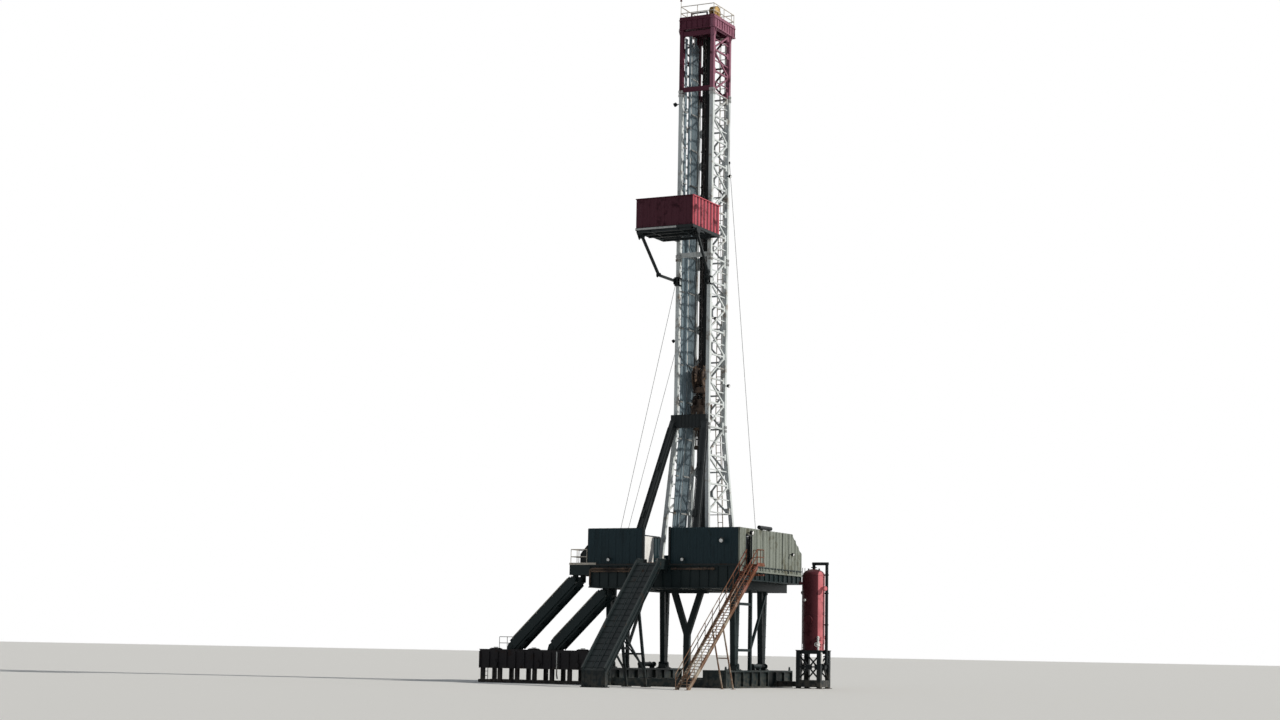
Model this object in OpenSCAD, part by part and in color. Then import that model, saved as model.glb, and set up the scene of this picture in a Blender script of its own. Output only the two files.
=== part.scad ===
// Land drilling rig as a half-scale model, in millimetres, +Z up.
// The origin is on the ground at the well centre. X runs along the front of the
// drill floor, and -Y is the ramp side, where pipe comes in through the V-door.

/* [Drill floor] */
// Height of the drill floor above the ground
floor_z = 4550; // [4200:50:5000]
// Depth of the steel frame under the deck
floor_frame_h = 860; // [600:20:1000]
// Thickness of the deck plates
deck_t = 40; // [30:5:60]
// Left edge of the main floor
floor_left = 2900; // [2800:20:3100]
// Right edge of the main floor
floor_right = 3300; // [3200:20:3500]
// Front edge of the floor, on the ramp side
floor_front = 3500; // [3400:20:3700]
// Rear edge of the floor
floor_rear = 2425; // [2300:25:2600]
// Width of the floor's main beams
floor_beam_w = 120; // [80:10:160]
// Radius of the opening in the rotary table
rotary_r = 238; // [150:2:260]
// Side of the square rotary table
rotary_side = 900; // [760:20:1000]
// Height of the rotary table over the deck
rotary_h = 60; // [40:10:100]

/* [Base and legs] */
// Height of the base boxes that lie on the ground
base_h = 650; // [500:25:800]
// Width of a base box
base_w = 950; // [900:10:1000]
// Distance from the well centre to the middle of a base box
base_x = 2400; // [2350:10:2450]
// How far the base boxes run past the floor's rear edge
base_tail = 275; // [0:25:400]
// Distance from the well centre to a front leg, along X
front_leg_x = 2600; // [2500:10:2650]
// Distance from the well centre to the front legs, along Y
front_leg_y = 2225; // [2100:25:2350]
// Distance from the well centre to a rear leg, along X
rear_leg_x = 2110; // [2080:10:2250]
// Distance from the well centre to the rear legs, along Y
rear_leg_y = 1395; // [1300:5:1500]
// Width of a leg at the floor
leg_top_w = 520; // [440:10:560]
// Width of a leg at its foot pin
leg_foot_w = 260; // [200:10:320]
// Thickness of a leg
leg_t = 200; // [140:10:240]

/* [Windwalls] */
// Height of the windwalls over the deck
wall_h = 1350; // [1100:50:1500]
// How far the right windwall hangs below the deck
wall_skirt = 250; // [150:10:300]
// Depth of the windwalls' corrugation
wall_t = 45; // [30:5:60]
// Width of the V-door
v_door_w = 1050; // [950:10:1100]
// Distance from the well centre to the middle of the V-door
v_door_x = -75; // [-100:5:0]
// Width of the doorway at the top of the stair
door_w = 450; // [400:10:480]
// Height of the doorway
door_h = 1050; // [1000:10:1100]

/* [Ramp and stair] */
// Width of the ramp
ramp_w = 950; // [850:10:1000]
// Level stretch between the floor and the slope
ramp_apron = 775; // [600:25:900]
// Distance from the well centre to the middle of the ramp
ramp_x = -25; // [-75:5:25]
// Slope of the ramp, in degrees
ramp_slope = 44; // [40:1:50]
// Height at which the ramp ends
ramp_end_z = 600; // [500:20:700]
// Width of the stair, outside its stringers
stair_w = 470; // [440:10:520]
// Slope of the stair, in degrees
stair_slope = 38; // [36:1:42]
// Rise from tread to tread
stair_rise = 101; // [90:1:110]

/* [Mast] */
// Height of the mast from the floor to the top of its legs
mast_h = 21350; // [21000:50:21700]
// Height of the knee, where the legs start to spread, over the floor
knee_h = 5450; // [5000:50:5800]
// Height of the red top section
top_section_h = 2600; // [2200:50:3000]
// Half the mast's width over the leg centres, above the knee
mast_half_w = 675; // [640:5:720]
// Half the mast's depth over the leg centres, above the knee
mast_half_d = 750; // [720:5:800]
// Half the mast's width at the floor
foot_half_w = 1000; // [900:10:1100]
// Half the mast's depth at the floor
foot_half_d = 1250; // [1150:10:1350]
// Side of a mast leg
mast_leg = 150; // [120:5:170]
// Width of a bracing bar
brace_w = 62; // [44:2:80]
// Thickness of a bracing bar
brace_t = 60; // [40:2:80]
// Height over the floor of the open portals at the mast's foot
portal_h = 2100; // [1900:50:2200]

/* [Racking board] */
// Half the width of the racking board
board_half_w = 1230; // [1150:10:1300]
// Depth of the racking board, along Y
board_d = 2400; // [2200:20:2500]
// Depth of the walkway at the front of the racking board
board_walk_d = 1150; // [1000:10:1250]
// Gap between the racking board and the mast's front legs
board_gap = 225; // [150:5:300]
// Height of the board's fingers over the drill floor
board_h = 12760; // [12000:20:13000]
// Depth of the board's frame
board_frame_h = 110; // [90:10:140]
// Height of the windwalls round the board
board_wall_h = 1140; // [1000:20:1300]

/* [Hoist] */
// Radius of the sheaves in the crown and in the travelling block
sheave_r = 300; // [260:10:320]
// Number of sheaves in the crown
sheave_count = 4; // [3:1:5]
// Distance between two sheaves
sheave_pitch = 90; // [80:2:100]
// Diameter of the drilling line
line_d = 20; // [14:2:26]
// Height of the travelling block's shaft over the drill floor, at rest
block_h = 7450; // [7000:50:8000]
// Height of the crown's deck beams
crown_h = 420; // [360:10:480]

/* [Swing arms and tank] */
// Distance from the well centre to the far end of the water tank
tank_far = 7650; // [7450:50:7800]
// Height of the top of the water tank
tank_h = 1250; // [1100:25:1400]
// Depth of the tank's body, which stands on posts
tank_body_h = 700; // [600:25:800]
// Distance along X that a swing arm covers
arm_run = 2700; // [2600:25:2850]
// Depth of a swing arm
arm_w = 300; // [240:10:340]

/* [Gas separator] */
// Radius of the gas separator's vessel
vessel_r = 425; // [380:5:450]
// Height of the vessel, with its heads
vessel_h = 3100; // [2800:50:3300]
// Height of the stand under the vessel
stand_h = 1450; // [1300:25:1600]

/* [Hidden] */

teal = "darkslategray";
white = "whitesmoke";
red = "firebrick";
steel = "dimgray";
round_fn = 48;
bar_fn = 8;

// Clearance between pieces that seat on each other
seat = 0.3;

knee_z = floor_z + knee_h;
mast_top_z = floor_z + mast_h;
red_z = mast_top_z - top_section_h;
middle_top_z = (knee_z + red_z) / 2;
crown_z = mast_top_z + crown_h;
// Where a leaning leg would cut into the level face above it
knee_drop = mast_leg / 2 * (foot_half_w - mast_half_w) / knee_h + seat;
frame_z = floor_z - deck_t - floor_frame_h;
v_door_left = v_door_x - v_door_w / 2;
v_door_right = v_door_x + v_door_w / 2;

function mix(a, b, s) = a + (b - a) * s;
function centre_of(t) =
    let (la = norm(t[1] - t[2]), lb = norm(t[2] - t[0]), lc = norm(t[0] - t[1]))
    (t[0] * la + t[1] * lb + t[2] * lc) / (la + lb + lc);
function inradius(t) =
    abs(cross(t[1] - t[0], t[2] - t[0]))
    / (norm(t[1] - t[2]) + norm(t[2] - t[0]) + norm(t[0] - t[1]));
// A triangle whose sides have each moved inwards by w
function inset(t, w) =
    let (o = centre_of(t), s = 1 - w / inradius(t)) [for (p = t) o + (p - o) * s];

// A rectangular bar from a to b: w is its size in its own upright plane, t its width across
module bar(a, b, w, t) {
    d = b - a;
    translate(a) rotate([0, acos(d[2] / norm(d)), atan2(d[1], d[0])])
        translate([-w / 2, -t / 2, 0]) cube([w, t, norm(d)]);
}

// A round bar from a to b
module rod(a, b, d_rod, sides = bar_fn) {
    d = b - a;
    translate(a) rotate([0, acos(d[2] / norm(d)), atan2(d[1], d[0])])
        cylinder(h = norm(d), d = d_rod, $fn = sides);
}

// A box between two corners
module block(lo, hi) {
    translate(lo) cube(hi - lo);
}

// Puts a flat panel, drawn with x across and y up, into the plane of eu and ev at o
module in_plane(o, eu, ev) {
    en = cross(eu, ev);
    multmatrix([
        [eu[0], ev[0], en[0], o[0]],
        [eu[1], ev[1], en[1], o[1]],
        [eu[2], ev[2], en[2], o[2]]]) children();
}

// The triangles left open in one bay of a lattice, between its four corners
function bay_openings(q, crossed, i) =
    crossed
        ? let (m = (q[0] + q[1] + q[2] + q[3]) / 4)
            [for (k = [0:3]) [q[k], q[(k + 1) % 4], m]]
        : i % 2 == 0
            ? [[q[0], q[1], q[2]], [q[0], q[2], q[3]]]
            : [[q[0], q[1], q[3]], [q[1], q[2], q[3]]];

// A flat lattice between two edges, each given by its x at the foot and at the top
module lattice(left, right, h, bays, w, t, crossed = false) {
    function at(edge, s) = [mix(edge[0], edge[1], s), h * s];
    openings = [for (i = [0:bays - 1])
        let (s = i / bays, e = (i + 1) / bays)
        each bay_openings([at(left, s), at(right, s), at(right, e), at(left, e)], crossed, i)];
    outline = [at(left, 0), at(right, 0), at(right, 1), at(left, 1)];
    linear_extrude(t, center = true) polygon(
        concat(outline, [for (o = openings) each inset(o, w / 2)]),
        concat([[0, 1, 2, 3]], [for (k = [0:len(openings) - 1]) [for (j = [0:2]) 4 + 3 * k + j]]));
}

// One side of the mast between two levels: two legs and the lattice that joins them.
// foot and top are [half width, half depth, z] of the leg centres
module mast_side(side, foot, top, bays, open = 0) {
    rise = [side * (top[0] - foot[0]), 0, top[2] - foot[2]];
    len = norm(rise);
    half_leg = mast_leg / 2;
    in_plane([side * foot[0], 0, foot[2]], [0, 1, 0], rise / len) {
        for (end = [-1, 1]) linear_extrude(mast_leg, center = true) polygon([
            [end * foot[1] - half_leg, 0], [end * foot[1] + half_leg, 0],
            [end * top[1] + half_leg, len], [end * top[1] - half_leg, len]]);
        d = mix(foot[1], top[1], open);
        translate([0, len * open, 0])
            lattice([-d, -top[1]], [d, top[1]], len * (1 - open), bays, brace_w, brace_t);
    }
}

// The rear of the mast between two levels: a lattice that butts on the two side frames
module mast_rear(foot, top, bays, crossed = true) {
    rise = [0, top[1] - foot[1], top[2] - foot[2]];
    len = norm(rise);
    edge = mast_leg / 2 + seat + 1;
    in_plane([0, foot[1], foot[2]], [-1, 0, 0], rise / len)
        lattice([edge - foot[0], edge - top[0]], [foot[0] - edge, top[0] - edge],
            len, bays, brace_w, brace_t, crossed);
}

shoe_h = 170;
mast_foot = [foot_half_w, foot_half_d, floor_z + shoe_h / 2];
mast_lower_head = [mast_half_w, mast_half_d, knee_z - knee_drop];
function lower_mast_at(z) =
    mix(mast_foot, mast_lower_head, (z - mast_foot[2]) / (mast_lower_head[2] - mast_foot[2]));
mast_knee = [mast_half_w, mast_half_d, knee_z];
mast_mid = [mast_half_w, mast_half_d, middle_top_z];
mast_red = [mast_half_w, mast_half_d, red_z];
mast_head = [mast_half_w, mast_half_d, mast_top_z];

// Base and legs
module base_boxes() {
    front = -floor_front;
    rear = floor_rear + base_tail;
    flange = 60;
    web_in = 90;
    color(teal) for (side = [-1, 1]) {
        lo = side * base_x - base_w / 2;
        block([lo, front, 0], [lo + base_w, rear, flange]);
        block([lo, front, base_h - flange], [lo + base_w, rear, base_h]);
        block([lo + web_in, front, flange], [lo + base_w - web_in, rear, base_h - flange]);
        for (i = [0:8]) {
            y = mix(front, rear - flange, i / 8);
            block([lo, y, flange], [lo + base_w, y + flange, base_h - flange]);
        }
    }
}

spreader_ys = [-floor_front + 300, -875, floor_rear - 250];
spreader_h = 300;
module base_spreaders() {
    reach = base_x - base_w / 2 - seat;
    color(teal) for (y = spreader_ys)
        block([-reach, y - 110, 0], [reach, y + 110, spreader_h]);
}

// A leg that narrows from the floor frame down to its foot pin, drawn in its own plane
leg_shoe = 120;
function leg_half(z) =
    mix(leg_foot_w, leg_top_w, (z - base_h - leg_shoe) / (frame_z - base_h - leg_shoe)) / 2;
module leg(x, y) {
    top = frame_z - seat;
    foot = base_h + seat;
    shoe = leg_shoe;
    translate([x, y, 0]) rotate([90, 0, 90]) {
        linear_extrude(leg_t, center = true) polygon([
            [-leg_foot_w / 2, foot + shoe], [leg_foot_w / 2, foot + shoe],
            [leg_top_w / 2, top], [leg_top_w / 2 - 150, top],
            [0, foot + (top - foot) * 0.45], [150 - leg_top_w / 2, top],
            [-leg_top_w / 2, top]]);
        linear_extrude(leg_t + 120, center = true)
            polygon([[-leg_foot_w / 2 - 60, foot], [leg_foot_w / 2 + 60, foot],
                [leg_foot_w / 2, foot + shoe + 40], [-leg_foot_w / 2, foot + shoe + 40]]);
    }
}

module floor_legs() {
    color(teal) for (side = [-1, 1]) {
        leg(side * front_leg_x, -front_leg_y);
        leg(side * rear_leg_x, rear_leg_y);
    }
}

side_post_y = -800;
module side_frames() {
    pad_y = floor_lines_y[3];
    low_z = base_h + 750;
    color(teal) for (side = [-1, 1]) {
        x = side * front_leg_x;
        block([x - 60, side_post_y - 60, base_h + seat], [x + 60, side_post_y + 60, frame_z - seat]);
        for (z = [low_z, frame_z - 525])
            block([x - 50, leg_half(z + 50) + seat - front_leg_y, z - 50], [x + 50, side_post_y, z + 50]);
        bar([x, side_post_y, low_z], [x, pad_y, frame_z - 80], 90, 90);
        block([x - 60, pad_y - 80, frame_z - 130], [x + 60, pad_y + 60, frame_z - seat]);
    }
}

// A forked post under the setback, on the middle spreader
module centre_v_post() {
    y = spreader_ys[1];
    fork = [0, y, 1950];
    color(teal) {
        bar([0, y, spreader_h + seat], fork + [0, 0, 60], 240, 180);
        for (side = [-1, 1]) bar(fork, [side * 560, y, frame_z - 60], 230, 160);
        block([-850, y - 90, frame_z - 120], [850, y + 90, frame_z - seat]);
    }
}

// Drill floor: beams along Y, and shorter beams between them
floor_lines_x = [-floor_left + floor_beam_w / 2, -rear_leg_x, -760, 760, rear_leg_x, front_leg_x + 60,
    floor_right - floor_beam_w / 2];
floor_lines_y = [-floor_front + floor_beam_w / 2, -front_leg_y, -1350, 640, rear_leg_y,
    floor_rear - floor_beam_w / 2];
// The bay beside the stair is shallower, apart from the front beam
edge_beam_h = 540;
module floor_frame() {
    hi = floor_z - deck_t - seat;
    half = floor_beam_w / 2;
    last = len(floor_lines_x) - 1;
    pin_x = arm_top_xs[1];
    color(teal) {
        for (i = [0:last])
            block([floor_lines_x[i] - half, i == last ? floor_lines_y[0] + half + seat : -floor_front,
                    i == last ? hi - edge_beam_h : frame_z],
                [floor_lines_x[i] + half, floor_rear, hi]);
        for (j = [0:len(floor_lines_y) - 1], i = [0:last - 1])
            block([floor_lines_x[i] + half + seat, floor_lines_y[j] - half,
                    i == last - 1 && j > 0 ? hi - edge_beam_h : frame_z],
                [i == last - 1 && j == 0 ? floor_right : floor_lines_x[i + 1] - half - seat,
                    floor_lines_y[j] + half, hi]);
        // Beam and lugs that the inner swing arm is pinned to
        block([pin_x - 70, floor_lines_y[0] + half + seat, frame_z],
            [pin_x + 70, floor_lines_y[1] - half - seat, frame_z + 250]);
        arm_lugs(pin_x, frame_z, inner_arm_z);
    }
}

module drill_floor() {
    hole = rotary_side + 2 * seat;
    color(steel) difference() {
        block([-floor_left, -floor_front, floor_z - deck_t], [floor_right, floor_rear, floor_z]);
        translate([-hole / 2, -hole / 2, floor_z - 2 * deck_t]) cube([hole, hole, 3 * deck_t]);
    }
}

module rotary_table() {
    color("darkred") difference() {
        union() {
            translate([-rotary_side / 2, -rotary_side / 2, floor_z - deck_t])
                cube([rotary_side, rotary_side, deck_t + rotary_h / 2]);
            translate([0, 0, floor_z]) cylinder(h = rotary_h, r = rotary_side * 0.42, $fn = round_fn);
        }
        translate([0, 0, floor_z - 2 * deck_t])
            cylinder(h = rotary_h + 3 * deck_t, r = rotary_r, $fn = round_fn);
    }
}

// Windwalls: vertical corrugation, drawn as a profile that is raised to the wall's height
sheet_t = wall_t * 0.4;
function corrugation(len, t) =
    let (n = max(3, round(len / 300)), p = len / n, sheet = sheet_t)
    concat(
        [for (i = [0:n - 1]) each [
            [i * p, 0], [i * p + p * 0.55, 0],
            [i * p + p * 0.65, sheet - t], [i * p + p * 0.9, sheet - t]]],
        [[len, 0], [len, sheet]],
        [for (i = [n - 1:-1:0]) each [
            [i * p + p * 0.9, 2 * sheet - t], [i * p + p * 0.65, 2 * sheet - t],
            [i * p + p * 0.55, sheet], [i * p, sheet]]]);

module wall_sheet(len, h) {
    linear_extrude(h) polygon(corrugation(len, wall_t));
}

wall_left = 3000;
module front_windwall() {
    color(teal) for (span = [[-wall_left, v_door_left], [v_door_right, floor_right]])
        translate([span[0], -floor_front + wall_t, floor_z + seat])
            wall_sheet(span[1] - span[0], wall_h);
}

// Pale panel that stands inside the V-door's left edge
module v_door_panel() {
    color(white) translate([v_door_left, -floor_front + wall_t + seat, floor_z + seat]) {
        cube([30, 720, 1040]);
        translate([-90, 660, 0]) cube([90, 60, 1040]);
    }
}

landing_y = -floor_front + 600;
module right_windwall() {
    len = floor_front + floor_rear;
    cut_run = 975;
    cut_drop = 750;
    color("lightslategray") difference() {
        translate([floor_right + seat + sheet_t, -floor_front, floor_z - wall_skirt])
            rotate([0, 0, 90]) wall_sheet(len, wall_h + wall_skirt);
        translate([floor_right - wall_t, landing_y, floor_z])
            cube([4 * wall_t, door_w, door_h]);
        translate([floor_right - wall_t, 0, 0]) rotate([90, 0, 90])
            linear_extrude(4 * wall_t) polygon([
                [floor_rear - cut_run, floor_z + wall_h + 1], [floor_rear + 1, floor_z + wall_h + 1],
                [floor_rear + 1, floor_z + wall_h - cut_drop]]);
    }
}

module rear_windwall() {
    color(teal) translate([floor_right, floor_rear - wall_t, floor_z + seat])
        rotate([0, 0, 180]) wall_sheet(floor_left + floor_right, wall_h - 750);
}

module left_windwall() {
    color(teal) translate([-floor_left + wall_t, floor_rear - 2 * wall_t, floor_z + seat])
        rotate([0, 0, -90]) wall_sheet(floor_rear + wing_rear_y - 2 * wall_t, wall_h);
}

// Left wing of the floor, its swing arms and the tank that carries them
wing_out = 3760;
wing_rear_y = 1500;
wing_h = 420;
arm_t = 130;
arm_ys = [-3300, -2700];
arm_top_xs = [-3640, -2350];
outer_arm_z = floor_z - wing_h - 150;
inner_arm_z = frame_z - 160;
arm_foot_z = tank_h + 130;
function arm_foot_x(k) =
    arm_top_xs[k] - arm_run * ((k == 0 ? outer_arm_z : inner_arm_z) - arm_foot_z)
        / (outer_arm_z - arm_foot_z);

// The pair of lugs between z_from and an arm's pin, beside each beam of a swing arm
module arm_lugs(x, z_from, z_pin) {
    end = z_pin + (z_pin > z_from ? 110 : -110);
    for (y = arm_ys)
        block([x - 110, y + arm_t / 2 + seat, min(z_from, end)],
            [x + 110, y + arm_t / 2 + 50, max(z_from, end)]);
}

module wing_platform() {
    lo = floor_z - wing_h;
    color(teal) {
        block([-wing_out, -floor_front, floor_z - deck_t], [-floor_left - seat, -wing_rear_y, floor_z]);
        for (y = [-floor_front, -wing_rear_y - 100])
            block([-wing_out, y, lo], [-floor_left - seat, y + 100, floor_z - deck_t]);
        for (x = [-wing_out, arm_top_xs[0] - 50, -floor_left - 100 - seat])
            block([x, -floor_front, lo], [x + 100, -wing_rear_y, floor_z - deck_t]);
        arm_lugs(arm_top_xs[0], lo, outer_arm_z);
    }
}

module swing_arms() {
    color(teal) for (k = [0, 1]) {
        top = [arm_top_xs[k], 0, k == 0 ? outer_arm_z : inner_arm_z];
        foot = [arm_foot_x(k), 0, arm_foot_z];
        for (y = arm_ys) bar([foot[0], y, foot[2]], [top[0], y, top[2]], arm_w, arm_t);
        for (s = [0.12, 0.37, 0.63, 0.88]) {
            c = mix(foot, top, s);
            rod([c[0], arm_ys[0], c[2]], [c[0], arm_ys[1], c[2]], 140);
        }
    }
}

tank_near = 2900;
module water_tank() {
    y0 = -floor_front;
    y1 = -2300;
    bottom = tank_h - tank_body_h;
    skid = 120;
    color(steel) {
        block([-tank_far, y0, bottom], [-tank_near, y1, tank_h]);
        for (y = [y0 + 60, y1 - 260]) {
            block([-tank_far - 80, y, 0], [-tank_near, y + 200, skid]);
            for (i = [0:6]) {
                x = mix(-tank_far, -tank_near - 140, i / 6);
                block([x, y + 30, skid], [x + 140, y + 170, bottom]);
            }
        }
        for (i = [0:12]) {
            x = mix(-tank_far, -tank_near - 60, i / 12);
            block([x, y0 - 50, bottom], [x + 60, y1 + 50, tank_h - 60]);
        }
        for (k = [0, 1]) arm_lugs(arm_foot_x(k), tank_h, arm_foot_z);
    }
}

// Handrails
rail_d = 34;
post_d = 28;
rail_h = 550;
module rail_run(a, b, posts) {
    color("gold") {
        for (z = [rail_h, rail_h / 2])
            rod(a + [0, 0, z], b + [0, 0, z], rail_d);
        for (i = [0:posts - 1]) {
            p = mix(a, b, i / (posts - 1));
            rod(p, p + [0, 0, rail_h], post_d);
        }
    }
}

module landing_handrail() {
    z = floor_z + seat;
    corner = [rail_d - wing_out, rail_d - floor_front, z];
    rail_run([-wall_left - 40, corner[1], z], corner, 3);
    rail_run(corner, [corner[0], -wing_rear_y - rail_d, z], 5);
}

// Ramp
ramp_t = 160;
module v_door_ramp() {
    top = -floor_front - ramp_apron;
    drop = floor_z - ramp_end_z;
    run = drop / tan(ramp_slope);
    lift = ramp_t / cos(ramp_slope);
    side_h = 140;
    color("gray") translate([ramp_x, 0, 0]) rotate([90, 0, 90]) {
        linear_extrude(ramp_w, center = true) polygon([
            [-floor_front - seat, floor_z], [top, floor_z], [top - run, ramp_end_z],
            [top - run, 0], [top - run + 200, 0], [top - run + 200, ramp_end_z - 60],
            [top - 30, floor_z - lift], [-floor_front - seat, floor_z - lift]]);
        for (edge = [-1, 1]) translate([0, 0, edge * (ramp_w / 2 - 25)])
            linear_extrude(50, center = true) polygon([
                [-floor_front - seat, floor_z], [-floor_front - seat, floor_z + side_h],
                [top, floor_z + side_h], [top - run, ramp_end_z + side_h], [top - run, ramp_end_z],
                [top, floor_z]]);
    }
}

// Stair
stair_x0 = floor_right + seat + wall_t + 10;
stair_top_y = landing_y;
stair_run = floor_z / tan(stair_slope);
module along_stair(x) {
    translate([x, 0, 0]) rotate([90, 0, 90]) children();
}

stringer_t = 40;
module stair_stringers() {
    depth = 170;
    color("silver") for (x = [stair_x0, stair_x0 + stair_w - stringer_t]) along_stair(x)
        linear_extrude(stringer_t) polygon([
            [stair_top_y - seat, floor_z], [stair_top_y - seat, floor_z - depth],
            [stair_top_y - stair_run + depth / tan(stair_slope), 0],
            [stair_top_y - stair_run, 0]]);
}

stair_steps = floor(floor_z / stair_rise);
module stair_treads() {
    going = stair_run / stair_steps;
    rise = floor_z / stair_steps;
    color("sienna") for (i = [1:stair_steps - 1]) {
        y = stair_top_y - stair_run + i * going;
        z = i * rise;
        block([stair_x0 + stringer_t + seat, y - going * 0.5, z - 20],
            [stair_x0 + stair_w - stringer_t - seat, y + going * 0.5, z]);
    }
}

module stair_handrails() {
    color("sienna") for (x = [stair_x0 + stringer_t / 2, stair_x0 + stair_w - stringer_t / 2]) {
        foot = [x, stair_top_y - stair_run, 0];
        top = [x, stair_top_y - rail_d, floor_z - rail_d * tan(stair_slope)];
        past = (top - foot) / norm(top - foot) * rail_d;
        for (z = [rail_h, rail_h / 2 + 40]) rod(foot - past + [0, 0, z], top + past + [0, 0, z], rail_d);
        for (i = [0:10]) {
            p = mix(foot, top, i / 10);
            rod(p + [0, 0, post_d / 2 * tan(stair_slope) + seat], p + [0, 0, rail_h], post_d);
        }
    }
}

module stair_landing() {
    x0 = floor_right + seat + wall_t + 10;
    len = door_w + 200;
    color("silver") {
        block([x0, landing_y, floor_z - 60], [x0 + stair_w, landing_y + len, floor_z]);
        for (y = [landing_y + 60, landing_y + len - 120]) {
            block([x0, y, floor_z - wall_skirt - 160], [x0 + 60, y + 60, floor_z - 60]);
            block([floor_right + seat, y, floor_z - wall_skirt - 160],
                [x0 + stair_w, y + 60, floor_z - wall_skirt - 100]);
        }
    }
    rail_run([x0 + stair_w - rail_d, landing_y + rail_d, floor_z],
        [x0 + stair_w - rail_d, landing_y + len - rail_d, floor_z], 3);
}

// Drawworks behind the mast, and the anchor of the dead line beside it
drum_y = 1770;
drum_z = floor_z + 560;
anchor = [-1310, 1450, floor_z + 420];
module drawworks() {
    half = 650;
    color(teal) {
        block([-half - 250, drum_y - 380, floor_z + seat], [half + 900, drum_y + 380, floor_z + 120]);
        // Motor and gearbox at the right end
        block([half + 280, drum_y - 300, floor_z + 100], [half + 860, drum_y + 300, floor_z + 1000]);
        block([half + 340, drum_y - 240, floor_z + 1000], [half + 800, drum_y + 240, floor_z + 1180]);
        block([half + 90, drum_y - 120, drum_z - 120], [half + 290, drum_y + 120, drum_z + 120]);
        for (x = [-half - 100, half])
            translate([x, drum_y, 0]) rotate([90, 0, 90]) linear_extrude(100) polygon([
                [-360, floor_z + 100], [360, floor_z + 100], [300, drum_z + 240],
                [120, drum_z + 380], [-120, drum_z + 380], [-300, drum_z + 240]]);
        translate([-half, drum_y, drum_z]) rotate([0, 90, 0]) {
            cylinder(h = 2 * half, r = 200, $fn = round_fn);
            for (x = [40, half - 30, 2 * half - 100])
                translate([0, 0, x]) cylinder(h = 60, r = 330, $fn = round_fn);
        }
        block([anchor[0] - 160, anchor[1] - 160, floor_z + seat],
            [anchor[0] + 160, anchor[1] + 160, floor_z + 60]);
        block([anchor[0] - 60, anchor[1] - 110, floor_z + 60],
            [anchor[0] + 60, anchor[1] + 110, anchor[2]]);
    }
}

// Mast
module mast_section(foot, top, side_bays, rear_bays) {
    for (side = [-1, 1]) mast_side(side, foot, top, side_bays);
    mast_rear(foot, top, rear_bays);
}

// A cross beam on the open front of the mast
module portal(z) {
    reach = mast_half_w - mast_leg / 2 - seat;
    block([-reach, -mast_half_d - 50, z], [reach, -mast_half_d + 50, z + 180]);
}

// The lower section stands on four shoes, and its lattices start over open portals
module mast_lower() {
    half = mast_leg / 2 + 45;
    portal_z = floor_z + portal_h;
    open = (portal_z - mast_foot[2]) / (mast_lower_head[2] - mast_foot[2]);
    color(white) {
        for (side = [-1, 1]) mast_side(side, mast_foot, mast_lower_head, 3, open);
        mast_rear(lower_mast_at(portal_z), mast_lower_head, 2);
        for (sx = [-1, 1], sy = [-1, 1])
            translate([sx * foot_half_w - half, sy * foot_half_d - half, floor_z + seat])
                cube([2 * half, 2 * half, shoe_h]);
    }
}

module mast_middle() {
    color(white) {
        mast_section(mast_knee, mast_mid, 7, 5);
        portal(knee_z + 100);
    }
}

module mast_upper() {
    color(white) {
        mast_section(mast_mid, mast_red, 7, 5);
        portal(middle_top_z + 20);
    }
}

module mast_top() {
    color(red) {
        mast_section(mast_red, mast_head, 3, 2);
        portal(red_z + 60);
        portal(mast_top_z - 260);
    }
}

// The crown
crown_half_w = 760;
crown_front = 840;
crown_rear = 1130;
sheave_z = crown_z + 60;
well_half = sheave_count * sheave_pitch / 2 + 70;
crown_beam = 110;
module crown_frame() {
    z0 = mast_top_z + seat;
    color(red) {
        for (y = [-crown_front, -mast_half_d, crown_rear - crown_beam])
            block([-crown_half_w, y, z0], [crown_half_w, y + crown_beam, crown_z]);
        for (x = [-crown_half_w, well_half])
            block([x, mast_half_d - crown_beam, z0],
                [x + crown_half_w - well_half, mast_half_d, crown_z]);
        for (x = [-crown_half_w, -well_half - crown_beam, well_half, crown_half_w - crown_beam])
            block([x, -crown_front, z0], [x + crown_beam, crown_rear, crown_z]);
    }
}

// The fast line's sheave stands behind the others, over the drawworks
fast_y = 662;
fast_x = 140;
sheave_t = 64;
groove = 22;
// How far a line's centre lies from the shaft when it sits in a groove
line_r = sheave_r - groove + (line_d / 2 + seat) * norm([sheave_t / 2, groove]) / (sheave_t / 2);
module sheave(r, t) {
    rotate([0, 90, 0]) rotate_extrude($fn = round_fn) polygon([
        [40, -t / 2], [60, -t / 2], [60, -t / 6], [r - 60, -t / 6], [r - 50, -t / 2], [r, -t / 2],
        [r - groove, 0], [r, t / 2], [r - 50, t / 2], [r - 60, t / 6], [60, t / 6], [60, t / 2],
        [40, t / 2]]);
}

module crown_sheaves() {
    half = (sheave_count - 1) * sheave_pitch / 2;
    reach = well_half + 90;
    color("dimgray") {
        for (i = [0:sheave_count - 1])
            translate([i * sheave_pitch - half, 0, sheave_z]) sheave(sheave_r, sheave_t);
        translate([fast_x, fast_y, sheave_z]) sheave(sheave_r, sheave_t);
        for (y = [0, fast_y]) {
            translate([-reach, y, sheave_z]) rotate([0, 90, 0])
                cylinder(h = 2 * reach, r = 41, $fn = round_fn);
            for (x = [-reach, well_half + 10])
                block([x, y - 90, crown_z + seat], [x + 80, y + 90, sheave_z + 80]);
        }
    }
}

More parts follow.
